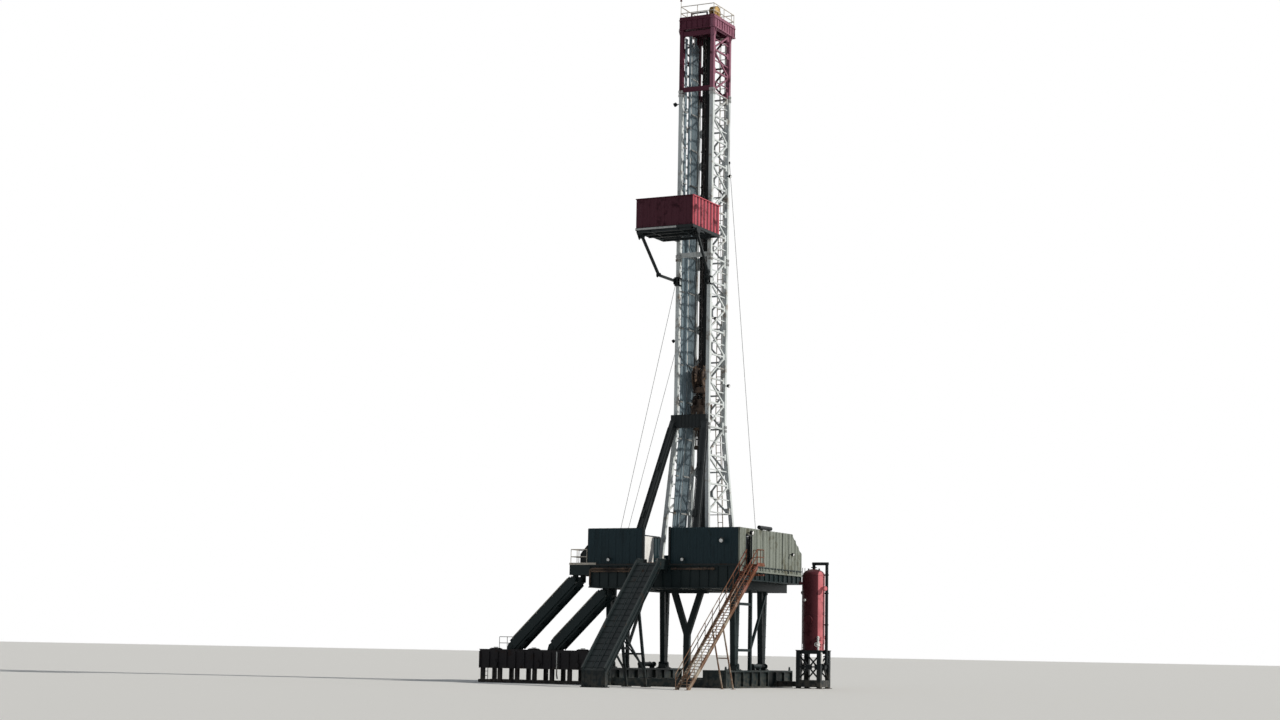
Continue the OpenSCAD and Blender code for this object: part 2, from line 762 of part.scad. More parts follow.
// Rounded guard over the fast line's sheave, open below and at the rear for the line
module sheave_guard() {
    inner = sheave_r + 25;
    outer = inner + 25;
    half = 110;
    color("tan") translate([fast_x, fast_y, 0]) rotate([90, 0, 90]) {
        for (edge = [-1, 1]) translate([0, 0, edge * (half - 10)]) linear_extrude(20, center = true)
            difference() {
                polygon(concat([[outer, crown_z + seat]],
                    [for (a = [0:12:180]) [outer * cos(a), sheave_z + 80 + outer * sin(a)]],
                    [[-outer, crown_z + seat]]));
                translate([-inner, crown_z - 1]) square([2 * inner, sheave_z + 120 - crown_z]);
            }
        linear_extrude(2 * half - 30, center = true) polygon(concat(
            [for (a = [0:12:180]) [outer * cos(a), sheave_z + 80 + outer * sin(a)]],
            [for (a = [180:-12:0]) [inner * cos(a), sheave_z + 80 + inner * sin(a)]]));
    }
}

module crown_handrail() {
    z = crown_z + seat;
    in = rail_d;
    corners = [[-crown_half_w + in, -crown_front + in, z], [crown_half_w - in, -crown_front + in, z],
        [crown_half_w - in, crown_rear - in, z], [-crown_half_w + in, crown_rear - in, z]];
    for (i = [0:3]) rail_run(corners[i], corners[(i + 1) % 4], 3);
    color("gold") rod(corners[0], corners[0] + [0, 0, 900], 24);
}

// Racking board
board_rear = -(mast_half_d + mast_leg / 2 + board_gap);
board_front = board_rear - board_d;
board_z = floor_z + board_h;
board_side = 70;
finger_w = 30;
finger_count = 3;
finger_tip = 250;
module racking_board() {
    walk = 130;
    hi = board_z + board_frame_h;
    color(teal) {
        block([-board_half_w, board_front, board_z], [board_half_w, board_front + board_walk_d, hi]);
        block([-board_half_w, board_rear - board_side, board_z], [board_half_w, board_rear, hi]);
        for (x = [-board_half_w, board_half_w - board_side])
            block([x, board_front, board_z], [x + board_side, board_rear, hi]);
        block([-walk, board_front, board_z + 40], [walk, board_rear - 300, hi]);
    }
}

// Fingers that stand out from the board's sides, with the pipe racked between them
module board_fingers() {
    near = board_front + board_walk_d;
    far = board_rear - board_side;
    color(teal) for (i = [1:finger_count], s = [-1, 1]) {
        y = mix(near, far, i / (finger_count + 1));
        x = [s * finger_tip, s * (board_half_w - board_side - seat)];
        block([min(x), y - finger_w / 2, board_z + 30],
            [max(x), y + finger_w / 2, board_z + board_frame_h - 20]);
    }
}

board_wall_z = board_z + board_frame_h + seat;
module board_windwalls() {
    inner = wall_t + sheet_t + seat;
    len = board_d - inner;
    color(red) {
        translate([-board_half_w, board_front + wall_t, board_wall_z])
            wall_sheet(2 * board_half_w, board_wall_h);
        for (side = [-1, 1])
            translate([side * board_half_w, side > 0 ? board_front + inner : board_rear, board_wall_z])
                rotate([0, 0, side * 90]) translate([0, wall_t, 0]) wall_sheet(len, board_wall_h);
    }
}

module board_braces() {
    pad = mast_half_d + mast_leg / 2 + seat;
    color(teal) for (side = [-1, 1]) {
        x = side * mast_half_w;
        hip = [side * (board_half_w - 50), board_front + 400, board_z - 60];
        knee = [side * 1060, -pad - 900, board_z - 1450];
        shoe = [x, -pad - 60, board_z - 1600];
        bar(hip, knee, 90, 90);
        bar(knee, shoe, 90, 90);
        block([hip[0] - 60, hip[1] - 60, hip[2] - 50], [hip[0] + 60, hip[1] + 60, board_z - seat]);
        block([x - 75, -pad - 150, shoe[2] - 170], [x + 75, -pad, shoe[2] + 170]);
        block([x - 70, board_rear + seat, board_z], [x + 70, -pad, board_z + board_frame_h]);
    }
}

// Struts that raised the mast, from the floor's front edge to a header across the front legs
strut_w = 230;
strut_foot_x = 1300;
strut_head_x = 520;
module raising_struts() {
    face = -mast_half_d - mast_leg / 2 - seat;
    header = [knee_z - 80, knee_z + 420];
    color(teal) {
        for (side = [-1, 1]) {
            foot = [side * strut_foot_x, 350 - floor_front, floor_z + 140];
            top = [side * (mast_half_w - 20), face - 140, knee_z + 180];
            head_x = [side * strut_head_x, side * (mast_half_w + 75)];
            bar(foot, top, strut_w, strut_w);
            block([foot[0] - 180, foot[1] - 180, floor_z + seat],
                [foot[0] + 180, foot[1] + 180, floor_z + 160]);
            block([min(head_x), face - 260, knee_z + seat], [max(head_x), face, header[1]]);
        }
        block([seat - strut_head_x, face - 240, header[0]], [strut_head_x - seat, face - 90, header[1]]);
    }
}

// Guide rail for the top drive, held off the rear of the mast
rail_y = 470;
rail_w = 260;
rail_d_y = 130;
module guide_rail() {
    w = rail_w / 2;
    flange = 26;
    color(steel) {
        translate([0, rail_y, floor_z + seat]) linear_extrude(mast_top_z - floor_z - 2 * seat) polygon([
            [-w, 0], [w, 0], [w, flange], [30, flange], [30, rail_d_y - flange],
            [w, rail_d_y - flange], [w, rail_d_y], [-w, rail_d_y], [-w, rail_d_y - flange],
            [-30, rail_d_y - flange], [-30, flange], [-w, flange]]);
        for (z = [knee_z - 45, middle_top_z - 45, red_z - 45, mast_top_z - 90])
            block([-60, rail_y + rail_d_y - 1, z], [60, mast_half_d - brace_t / 2 - seat, z + 90 - seat]);
    }
}

// Hoist
block_z = floor_z + block_h;
module travelling_block() {
    half = (sheave_count - 1) * sheave_pitch / 2;
    cheek = 45;
    color("goldenrod") {
        for (x = [-half - 60 - cheek, half + 60])
            translate([x, 0, block_z]) rotate([90, 0, 90]) linear_extrude(cheek) polygon([
                [-140, -620], [140, -620], [330, -180], [340, 120], [220, 380], [0, 460],
                [-220, 380], [-340, 120], [-330, -180]]);
        for (i = [0:sheave_count - 1])
            translate([i * sheave_pitch - half, 0, block_z]) sheave(sheave_r, 64);
        translate([-half - 130, 0, block_z]) rotate([0, 90, 0])
            cylinder(h = 2 * half + 260, r = 41, $fn = round_fn);
        block([-half - 60, -120, block_z - 620], [half + 60, 120, block_z - 420]);
    }
}

drive_top_z = block_z - 620;
module top_drive() {
    run_gap = 6;
    z0 = drive_top_z;
    color("saddlebrown") {
        // Bail from the block to the gearbox
        for (x = [-170, 130]) translate([x, 0, 0]) rotate([90, 0, 90]) linear_extrude(40) polygon([
            [-50, z0 - 560], [50, z0 - 560], [70, z0 - 200], [50, z0 - seat], [-50, z0 - seat],
            [-70, z0 - 200]]);
        // Gearbox with the two motors and the washpipe on it
        translate([0, 0, z0 - 1150]) linear_extrude(630) polygon([
            [-330, -180], [-250, -260], [250, -260], [330, -180], [330, 180], [250, 260],
            [-250, 260], [-330, 180]]);
        translate([0, -60, z0 - 520]) cylinder(h = 260, r = 120, $fn = round_fn);
        for (x = [-230, 230]) translate([x, 0, z0 - 520]) {
            cylinder(h = 300, r = 95, $fn = round_fn);
            cylinder(h = 40, r = 115, $fn = round_fn);
            translate([0, 0, 300]) cylinder(h = 30, r = 70, $fn = round_fn);
        }
        // Dolly that runs on the guide rail
        block([-260, 200, z0 - 1100], [260, rail_y - run_gap, z0 - 380]);
        for (side = [-1, 1], z = [z0 - 1080, z0 - 520])
            translate([side * (rail_w / 2 + run_gap + 60), rail_y, z])
                translate([-60, -60, 0]) cube([120, 150, 120]);
        // Pipe handler and elevator links
        translate([0, 0, z0 - 1700]) cylinder(h = 560, r = 90, $fn = round_fn);
        translate([0, 0, z0 - 1330]) cylinder(h = 60, r = 150, $fn = round_fn);
        block([-210, -150, z0 - 1480], [210, 150, z0 - 1330]);
        for (x = [-190, 150]) block([x, -25, z0 - 2150], [x + 40, 25, z0 - 1400]);
        translate([0, 0, z0 - 2230]) linear_extrude(120) polygon([
            [-210, -60], [-120, -110], [120, -110], [210, -60], [210, 60], [120, 110],
            [-120, 110], [-210, 60]]);
    }
}

module drilling_lines() {
    half = (sheave_count - 1) * sheave_pitch / 2;
    color("black") for (i = [0:sheave_count - 1], y = [-line_r, line_r])
        rod([i * sheave_pitch - half, y, block_z], [i * sheave_pitch - half, y, sheave_z], line_d);
}

// Ladder up the back of the mast
ladder_w = 230;
module ladder_run(o, top) {
    d = top - o;
    len = norm(d);
    n = round(len / 300);
    rail = 30;
    in_plane(o, [-1, 0, 0], d / len) linear_extrude(30, center = true) polygon(
        concat([[0, 0], [ladder_w, 0], [ladder_w, len], [0, len]],
            [for (i = [0:n - 1]) each [
                [rail, len * i / n + 13], [ladder_w - rail, len * i / n + 13],
                [ladder_w - rail, len * (i + 1) / n - 13], [rail, len * (i + 1) / n - 13]]]),
        concat([[0, 1, 2, 3]], [for (i = [0:n - 1]) [for (j = [0:3]) 4 + 4 * i + j]]));
}

module mast_ladder() {
    off = brace_t / 2 + 15 + 2 * seat;
    x = 520;
    color("silver") {
        ladder_run([x, lower_mast_at(floor_z)[1] + off, floor_z + 3], [x, mast_half_d + off, knee_z]);
        ladder_run([x, mast_half_d + off, knee_z], [x, mast_half_d + off, mast_top_z - 20]);
    }
}

// Stay lines from lugs on the mast's legs to lugs on the drill floor
stay_d = 16;
module stay(from, to) {
    lug = [50, 50, 90];
    out = sign(from[0]) * (mast_leg / 2 + seat + lug[0] / 2);
    start = from + [out, 0, 0];
    rod(start, to, stay_d, 6);
    translate(start - lug / 2) cube(lug);
    block([to[0] - 50, to[1] - 50, floor_z + seat], [to[0] + 50, to[1] + 50, to[2]]);
}

// The fast line, the dead line and the stays
module standing_lines() {
    color("black") {
        rod([fast_x, drum_y + 200 + line_d, drum_z], [fast_x, fast_y + line_r, sheave_z], line_d);
        rod(anchor + [0, 0, 2 * seat],
            [50 - crown_half_w, crown_rear - 50, mast_top_z - line_d / 2], line_d);
        for (dy = [0, 500])
            stay([-mast_half_w, dy == 0 ? -mast_half_d : mast_half_d, board_z - 1560],
                [150 - floor_left, dy - 1850, floor_z + 120]);
        stay([mast_half_w, mast_half_d, red_z - 2600], [floor_right - 120, -1450, floor_z + 120]);
    }
}

// Gas separator
vessel_at = [4300, 1350, 0];
module gas_separator() {
    cap = 240;
    color(red) translate(vessel_at + [0, 0, stand_h + seat]) rotate_extrude($fn = round_fn)
        polygon(concat([[0, 0], [vessel_r - 15, 0], [vessel_r - 15, cap], [vessel_r, cap]],
            [for (a = [0:15:90]) [vessel_r * cos(a), vessel_h - cap + cap * sin(a)]]));
}

module separator_stand() {
    half = vessel_r;
    post = 80;
    c = vessel_at;
    color(steel) {
        for (sx = [-1, 1], sy = [-1, 1])
            block([c[0] + sx * half - post, c[1] + sy * half - post, 0],
                [c[0] + sx * half + post, c[1] + sy * half + post, stand_h]);
        block([c[0] - half - post, c[1] - half - post, 60], [c[0] + half + post, c[1] + half + post, 320]);
        block([c[0] - half, c[1] - half, stand_h - 140], [c[0] + half, c[1] + half, stand_h]);
        // Tie that rests on the lower flange of the base box
        block([base_x + base_w / 2 - 90 + seat, c[1] - 80, 60 + seat], [c[0] - half, c[1] + 80, 260]);
        block([c[0] + half - 20, c[1] - 60, stand_h - 140],
            [c[0] + vent_reach - 60 - seat, c[1] + 60, stand_h]);
    }
}

vent_reach = vessel_r + 110;
module separator_vent() {
    top = stand_h + vessel_h;
    c = vessel_at;
    d_pipe = 120;
    reach = vent_reach;
    color("black") {
        rod(c + [0, 0, top + seat], c + [0, 0, top + 200], d_pipe, 16);
        rod(c + [-d_pipe / 2, 0, top + 200], c + [reach + d_pipe / 2, 0, top + 200], d_pipe, 16);
        rod(c + [reach, 0, 900], c + [reach, 0, top + 200], d_pipe, 16);
    }
}

base_boxes();
base_spreaders();
floor_legs();
side_frames();
centre_v_post();
floor_frame();
drill_floor();
rotary_table();
wing_platform();
swing_arms();
water_tank();
front_windwall();
right_windwall();
rear_windwall();
left_windwall();
v_door_panel();
landing_handrail();
v_door_ramp();
stair_stringers();
stair_treads();
stair_handrails();
stair_landing();
drawworks();
mast_lower();
mast_middle();
mast_upper();
mast_top();
crown_frame();
crown_sheaves();
sheave_guard();
crown_handrail();
racking_board();
board_fingers();
board_windwalls();
board_braces();
raising_struts();
guide_rail();
travelling_block();
top_drive();
drilling_lines();
standing_lines();
mast_ladder();
gas_separator();
separator_stand();
separator_vent();
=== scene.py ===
# Land drilling rig at 1:2: finishes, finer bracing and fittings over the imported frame.
import math

import bmesh
import bpy
from mathutils import Matrix, Vector


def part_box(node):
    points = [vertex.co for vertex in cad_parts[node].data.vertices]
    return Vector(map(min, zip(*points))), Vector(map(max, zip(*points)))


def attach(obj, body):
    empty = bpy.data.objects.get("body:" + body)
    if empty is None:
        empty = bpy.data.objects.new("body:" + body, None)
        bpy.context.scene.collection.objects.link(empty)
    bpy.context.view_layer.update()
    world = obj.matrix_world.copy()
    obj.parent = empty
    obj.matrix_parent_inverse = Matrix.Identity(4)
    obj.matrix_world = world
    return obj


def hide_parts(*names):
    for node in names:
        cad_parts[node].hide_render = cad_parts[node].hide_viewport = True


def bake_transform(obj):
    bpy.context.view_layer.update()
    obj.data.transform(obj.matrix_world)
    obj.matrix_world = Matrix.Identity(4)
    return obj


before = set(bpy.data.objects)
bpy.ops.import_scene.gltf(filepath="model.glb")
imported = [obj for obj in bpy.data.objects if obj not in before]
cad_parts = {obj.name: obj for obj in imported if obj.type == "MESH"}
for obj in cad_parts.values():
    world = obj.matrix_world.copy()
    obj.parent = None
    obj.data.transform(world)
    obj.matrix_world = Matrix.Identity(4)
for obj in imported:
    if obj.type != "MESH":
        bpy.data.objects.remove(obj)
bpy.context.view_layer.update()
print("frame loaded")

scene = bpy.context.scene
scene.view_settings.view_transform = "Standard"


# Camera: the photograph's view, from a long way off and near the ground
camera = {
    "yaw": math.radians(27.14),
    "pitch": math.radians(7.63),
    "roll": math.radians(1.06),
    "distance": 84.675,
    "aside": -2.4,
    "height": 1.3,
    "lens": 61.1,
}


def addCamera(s):
    forward = Vector((-math.sin(s["yaw"]), math.cos(s["yaw"]), 0))
    right = Vector((math.cos(s["yaw"]), math.sin(s["yaw"]), 0))
    data = bpy.data.cameras.new("camera")
    data.lens = s["lens"]
    data.sensor_width = 36
    data.clip_end = 2000
    view = bpy.data.objects.new("camera", data)
    scene.collection.objects.link(view)
    place = right * s["aside"] - forward * s["distance"] + Vector((0, 0, s["height"]))
    turn = (
        Matrix.Rotation(s["yaw"], 4, "Z")
        @ Matrix.Rotation(math.radians(90) + s["pitch"], 4, "X")
        @ Matrix.Rotation(s["roll"], 4, "Z")
    )
    view.matrix_world = Matrix.Translation(place) @ turn
    scene.camera = view


addCamera(camera)


# Shader helpers
def newMaterial(name):
    mat = bpy.data.materials.new(name)
    mat.use_nodes = True
    nodes = mat.node_tree.nodes
    shader = nodes["Principled BSDF"]
    return mat, nodes, mat.node_tree.links, shader


def newGroup(name, inputs, outputs):
    tree = bpy.data.node_groups.new(name, "ShaderNodeTree")
    for label, kind, value in inputs:
        socket = tree.interface.new_socket(label, in_out="INPUT", socket_type=kind)
        if value is not None:
            socket.default_value = value
    for label, kind in outputs:
        tree.interface.new_socket(label, in_out="OUTPUT", socket_type=kind)
    source = tree.nodes.new("NodeGroupInput")
    sink = tree.nodes.new("NodeGroupOutput")
    return tree, source, sink


def addNode(tree, kind, links=None, **values):
    node = tree.nodes.new(kind)
    for key, value in values.items():
        if hasattr(node, key):
            setattr(node, key, value)
        else:
            node.inputs[key].default_value = value
    for key, socket in (links or {}).items():
        tree.links.new(socket, node.inputs[key])
    return node


def rampNode(tree, fac, low, high):
    node = tree.nodes.new("ShaderNodeMapRange")
    node.interpolation_type = "SMOOTHSTEP"
    node.inputs["From Min"].default_value = low
    node.inputs["From Max"].default_value = high
    tree.links.new(fac, node.inputs["Value"])
    return node.outputs["Result"]


def mixColours(tree, fac, first, second):
    node = tree.nodes.new("ShaderNodeMix")
    node.data_type = "RGBA"
    for socket, value in ((node.inputs[0], fac), (node.inputs[6], first), (node.inputs[7], second)):
        if hasattr(value, "is_output"):
            tree.links.new(value, socket)
        elif isinstance(value, (int, float)):
            socket.default_value = value
        else:
            socket.default_value = (*value, 1) if len(value) == 3 else value
    return node.outputs[2]


def scaleValue(tree, value, factor):
    node = tree.nodes.new("ShaderNodeMath")
    node.operation = "MULTIPLY"
    tree.links.new(value, node.inputs[0])
    node.inputs[1].default_value = factor
    return node.outputs[0]


def streakGroup():
    # Marks that rain has drawn down a surface
    tree, source, sink = newGroup(
        "rainStreaks",
        [("Vector", "NodeSocketVector", None), ("Scale", "NodeSocketFloat", 4.0)],
        [("Mask", "NodeSocketFloat")],
    )
    squeeze = addNode(tree, "ShaderNodeMapping", {"Vector": source.outputs["Vector"]})
    squeeze.inputs["Scale"].default_value = (1, 1, 0.12)
    lines = addNode(tree, "ShaderNodeTexNoise", {"Vector": squeeze.outputs[0],
        "Scale": source.outputs["Scale"]},
                    Detail=5.0, Roughness=0.6)
    breaks = addNode(tree, "ShaderNodeTexNoise", {"Vector": source.outputs["Vector"]}, Scale=0.9, Detail=2.0)
    spread = addNode(tree, "ShaderNodeMath", {0: lines.outputs["Fac"], 1: breaks.outputs["Fac"]},
                     operation="MULTIPLY")
    tree.links.new(rampNode(tree, spread.outputs[0], 0.26, 0.40), sink.inputs["Mask"])
    return tree


def patchGroup():
    # Worn or rusty patches with broken edges
    tree, source, sink = newGroup(
        "patches",
        [("Vector", "NodeSocketVector", None), ("Scale", "NodeSocketFloat", 2.0),
         ("Cover", "NodeSocketFloat", 0.5)],
        [("Mask", "NodeSocketFloat"), ("Fine", "NodeSocketFloat")],
    )
    broad = addNode(tree, "ShaderNodeTexNoise", {"Vector": source.outputs["Vector"],
        "Scale": source.outputs["Scale"]},
                    Detail=7.0, Roughness=0.68)
    fine = addNode(tree, "ShaderNodeTexNoise", {"Vector": source.outputs["Vector"]}, Scale=22.0, Detail=3.0)
    low = addNode(tree, "ShaderNodeMath", {1: source.outputs["Cover"]}, operation="SUBTRACT")
    low.inputs[0].default_value = 0.80
    high = addNode(tree, "ShaderNodeMath", {0: low.outputs[0]}, operation="ADD")
    high.inputs[1].default_value = 0.10
    edge = addNode(tree, "ShaderNodeMapRange", {"Value": broad.outputs["Fac"], "From Min": low.outputs[0],
                                                "From Max": high.outputs[0]})
    tree.links.new(edge.outputs["Result"], sink.inputs["Mask"])
    tree.links.new(fine.outputs["Fac"], sink.inputs["Fine"])
    return tree


def dustGroup():
    # Dust on faces that look up, and splashed soil near the ground
    tree, source, sink = newGroup(
        "groundDust",
        [("Vector", "NodeSocketVector", None), ("Reach", "NodeSocketFloat", 1.2)],
        [("Mask", "NodeSocketFloat")],
    )
    split = addNode(tree, "ShaderNodeSeparateXYZ", {0: source.outputs["Vector"]})
    share = addNode(tree, "ShaderNodeMath", {0: split.outputs["Z"], 1: source.outputs["Reach"]},
                    operation="DIVIDE")
    low = addNode(tree, "ShaderNodeMath", {1: share.outputs[0]}, operation="SUBTRACT", use_clamp=True)
    low.inputs[0].default_value = 1.0
    shape = addNode(tree, "ShaderNodeNewGeometry")
    up = addNode(tree, "ShaderNodeSeparateXYZ", {0: shape.outputs["Normal"]})
    top = rampNode(tree, up.outputs["Z"], 0.75, 0.98)
    breakUp = addNode(tree, "ShaderNodeTexNoise", {"Vector": source.outputs["Vector"]}, Scale=6.0, Detail=5.0)
    both = addNode(tree, "ShaderNodeMath", {0: top, 1: low.outputs[0]}, operation="MAXIMUM")
    cut = addNode(tree, "ShaderNodeMath", {0: both.outputs[0],
        1: rampNode(tree, breakUp.outputs["Fac"], 0.35, 0.62)},
                  operation="MULTIPLY")
    tree.links.new(cut.outputs[0], sink.inputs["Mask"])
    return tree


effects = {"streaks": streakGroup(), "patches": patchGroup(), "dust": dustGroup()}


def placeGroup(tree, effect, vector, **values):
    node = tree.nodes.new("ShaderNodeGroup")
    node.node_tree = effects[effect]
    tree.links.new(vector, node.inputs["Vector"])
    for key, value in values.items():
        node.inputs[key].default_value = value
    return node


def weatheredPaint(name, paint, wear, rough=0.45, cover=0.32, streaks=0.5,
                   dust=(0.42, 0.36, 0.28), dustShare=0.35, reach=1.2, metal=0.0, bump=0.15, shine=0.15,
                   twoToneAndPaintedLight=None, axis="X", blend=0.01):
    # Paint on steel: faded and chipped in patches, streaked by rain, dusty on top and near the ground.
    # twoToneAndPaintedLight holds the place on the axis past which the paint has another colour, and that
    # colour. On the stair it is a second paint colour; on the mast top, the racking board walls and the gas
    # separator it is painted light, the sunlit right side.
    mat, nodes, links, shader = newMaterial(name)
    tree = mat.node_tree
    place = nodes.new("ShaderNodeTexCoord").outputs["Object"]
    patches = placeGroup(tree, "patches", place, Scale=2.0, Cover=cover)
    rain = placeGroup(tree, "streaks", place, Scale=5.0)
    soil = placeGroup(tree, "dust", place, Reach=reach)
    faded = tuple(min(1, c * 1.35 + 0.015) for c in paint)
    tone = mixColours(tree, patches.outputs["Fine"], tuple(c * 0.82 for c in paint), faded)
    if twoToneAndPaintedLight:
        where = addNode(tree, "ShaderNodeSeparateXYZ", {0: place})
        past = rampNode(tree, where.outputs[axis], twoToneAndPaintedLight[0] - blend, twoToneAndPaintedLight[0] + blend)
        tone = mixColours(tree, past, tone, twoToneAndPaintedLight[1])
    tone = mixColours(tree, scaleValue(tree, rain.outputs["Mask"], streaks * 0.6), tone,
                      tuple(c * 0.45 for c in paint))
    tone = mixColours(tree, scaleValue(tree, patches.outputs["Mask"], 0.85), tone, wear)
    tone = mixColours(tree, scaleValue(tree, soil.outputs["Mask"], dustShare), tone, dust)
    links.new(tone, shader.inputs["Base Color"])
    roughness = nodes.new("ShaderNodeMapRange")
    roughness.inputs["To Min"].default_value = rough
    roughness.inputs["To Max"].default_value = min(1, rough + 0.35)
    links.new(patches.outputs["Mask"], roughness.inputs["Value"])
    links.new(roughness.outputs["Result"], shader.inputs["Roughness"])
    shader.inputs["Metallic"].default_value = metal
    shader.inputs["Specular IOR Level"].default_value = shine
    relief = nodes.new("ShaderNodeBump")
    relief.inputs["Strength"].default_value = bump
    relief.inputs["Distance"].default_value = 0.004
    links.new(patches.outputs["Fine"], relief.inputs["Height"])
    links.new(relief.outputs["Normal"], shader.inputs["Normal"])
    return mat


rust = (0.13, 0.055, 0.028)
paints = {
    "base": weatheredPaint("basePaint", (0.004, 0.012, 0.014), (0.035, 0.022, 0.016), cover=0.14, reach=0.8,
                           dustShare=0.12),
    "deck": weatheredPaint("deckSteel", (0.035, 0.035, 0.034), (0.075, 0.045, 0.030), rough=0.6, cover=0.28,
                           dust=(0.14, 0.12, 0.10), dustShare=0.5),
    "tank": weatheredPaint("tankPaint", (0.009, 0.008, 0.010), (0.035, 0.020, 0.016), rough=0.6, cover=0.24,
                           reach=0.7, dustShare=0.14),
    # One windwall paint in two copies: wall is darkened as painted shade for the front, left and rear walls,
    # and litWall is lightened as painted sunlight for the right wall
    "wall": weatheredPaint("shadedWallPaint", (0.003, 0.018, 0.025), (0.012, 0.018, 0.018), cover=0.22, streaks=0.7,
                           dustShare=0.1),
    "litWall": weatheredPaint("sunlitWallPaint", (0.180, 0.200, 0.175), (0.11, 0.11, 0.08), cover=0.26,
                              streaks=1.0, dustShare=0.2),
    "rail": weatheredPaint("railPaint", (0.50, 0.46, 0.40), rust, cover=0.22),
    "stair": weatheredPaint("stairPaint", (0.30, 0.26, 0.21), rust, cover=0.38, axis="Y", blend=1.1,
                            twoToneAndPaintedLight=(-4.6, (0.22, 0.075, 0.055))),
    "ramp": weatheredPaint("rampSteel", (0.005, 0.011, 0.013), (0.035, 0.022, 0.016), rough=0.5, cover=0.20,
                           reach=0.8, dustShare=0.12),
    "machine": weatheredPaint("machinePaint", (0.008, 0.012, 0.014), (0.045, 0.028, 0.020), cover=0.16,
        dustShare=0.15),
    "mast": weatheredPaint("mastPaint", (0.55, 0.59, 0.60), (0.24, 0.19, 0.15), cover=0.24, streaks=1.1,
                           dustShare=0.10),
    "pipe": weatheredPaint("pipePaint", (0.19, 0.25, 0.29), (0.12, 0.11, 0.10), cover=0.22, streaks=0.8,
                           dustShare=0.05),
    # topPaint: dark maroon as painted shade, and past x=0.60 a pink right side as painted sunlight
    "top": weatheredPaint("topPaint", (0.070, 0.010, 0.026), (0.035, 0.010, 0.016), cover=0.24, dustShare=0.1,
                          twoToneAndPaintedLight=(0.60, (0.27, 0.11, 0.16))),
    # boardPaint: dark maroon front as painted shade, and past x=1.19 the walls' right side as painted
    # sunlight
    "board": weatheredPaint("boardPaint", (0.050, 0.006, 0.016), (0.022, 0.005, 0.009), cover=0.28,
                            dustShare=0.05, twoToneAndPaintedLight=(1.19, (0.52, 0.10, 0.13))),
    "iron": weatheredPaint("sheaveIron", (0.03, 0.028, 0.028), rust, rough=0.5, cover=0.30, metal=0.5),
    "guard": weatheredPaint("guardPaint", (0.50, 0.33, 0.12), (0.26, 0.14, 0.05), cover=0.26),
    "hoist": weatheredPaint("hoistPaint", (0.105, 0.070, 0.050), (0.03, 0.025, 0.024), cover=0.34),
    "yellow": weatheredPaint("hoistYellow", (0.46, 0.28, 0.05), (0.16, 0.10, 0.05), cover=0.34),
    "rope": weatheredPaint("ropeWire", (0.016, 0.016, 0.018), (0.04, 0.03, 0.028), rough=0.5, metal=0.5),
    "rubber": weatheredPaint("rubber", (0.010, 0.011, 0.012), (0.03, 0.028, 0.026), rough=0.62, cover=0.2),
    # vesselPaint: near-black maroon as painted shade on the separator's left, and past x=4.60 a pink strip as
    # painted sunlight on its right side
    "vessel": weatheredPaint("vesselPaint", (0.055, 0.004, 0.009), (0.03, 0.004, 0.007), cover=0.24,
        dustShare=0.15,
                             twoToneAndPaintedLight=(4.60, (0.60, 0.18, 0.20))),
    "stand": weatheredPaint("standPaint", (0.006, 0.010, 0.012), (0.045, 0.028, 0.020), cover=0.16, reach=0.8,
                            dustShare=0.15),
    "galvanised": weatheredPaint("galvanised", (0.30, 0.31, 0.31), (0.17, 0.14, 0.11), cover=0.26, metal=0.4),
    "white": weatheredPaint("cabinetPaint", (0.82, 0.82, 0.80), (0.50, 0.44, 0.36), cover=0.16,
        dustShare=0.1),
    "lamp": weatheredPaint("lampGlass", (0.80, 0.84, 0.86), (0.6, 0.6, 0.55), rough=0.2, shine=0.5,
        cover=0.1, streaks=0.1,
                           dustShare=0.05, bump=0.02),
}

nodePaint = {
    "base": ["base_boxes", "base_spreaders", "floor_legs", "side_frames", "centre_v_post", "floor_frame",
             "wing_platform", "swing_arms"],
    "deck": ["drill_floor"],
    "tank": ["water_tank"],
    "wall": ["front_windwall", "left_windwall", "rear_windwall"],
    "litWall": ["right_windwall"],
    "rail": ["landing_handrail", "crown_handrail", "mast_ladder"],
    "stair": ["stair_stringers", "stair_treads", "stair_handrails", "stair_landing"],
    "ramp": ["v_door_ramp"],
    "machine": ["drawworks", "raising_struts", "board_braces", "racking_board", "board_fingers",
        "rotary_table",
                "guide_rail"],
    "mast": ["mast_lower", "mast_middle", "mast_upper"],
    "white": ["v_door_panel"],
    "top": ["mast_top", "crown_frame"],
    "board": ["board_windwalls"],
    "iron": ["crown_sheaves"],
    "guard": ["sheave_guard"],
    "hoist": ["travelling_block", "top_drive"],
    "rope": ["standing_lines"],
    "vessel": ["gas_separator"],
    "stand": ["separator_stand", "separator_vent"],
}
for paint, names in nodePaint.items():
    for name in names:
        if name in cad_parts:
            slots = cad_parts[name].data.materials
            for i in range(max(1, len(slots))):
                if len(slots) > i:
                    slots[i] = paints[paint]
                else:
                    slots.append(paints[paint])
print("paints done")


# Modelling helpers
corners = [(-1, -1), (-1, 1), (1, -1), (1, 1)]


def addBox(bm, lo, hi):
    lo, hi = Vector(lo), Vector(hi)
    made = bmesh.ops.create_cube(bm, size=1)["verts"]
    bmesh.ops.scale(bm, vec=hi - lo, verts=made)
    bmesh.ops.translate(bm, vec=(lo + hi) / 2, verts=made)


def alongTurn(a, b):
    return (Vector(b) - Vector(a)).to_track_quat("Z", "Y").to_matrix().to_4x4()


def addBar(bm, a, b, wide, thick):
    # A flat or square bar from a to b
    a, b = Vector(a), Vector(b)
    made = bmesh.ops.create_cube(bm, size=1)["verts"]
    bmesh.ops.scale(bm, vec=(wide, thick, (b - a).length), verts=made)
    bmesh.ops.transform(bm, matrix=Matrix.Translation((a + b) / 2) @ alongTurn(a, b), verts=made)


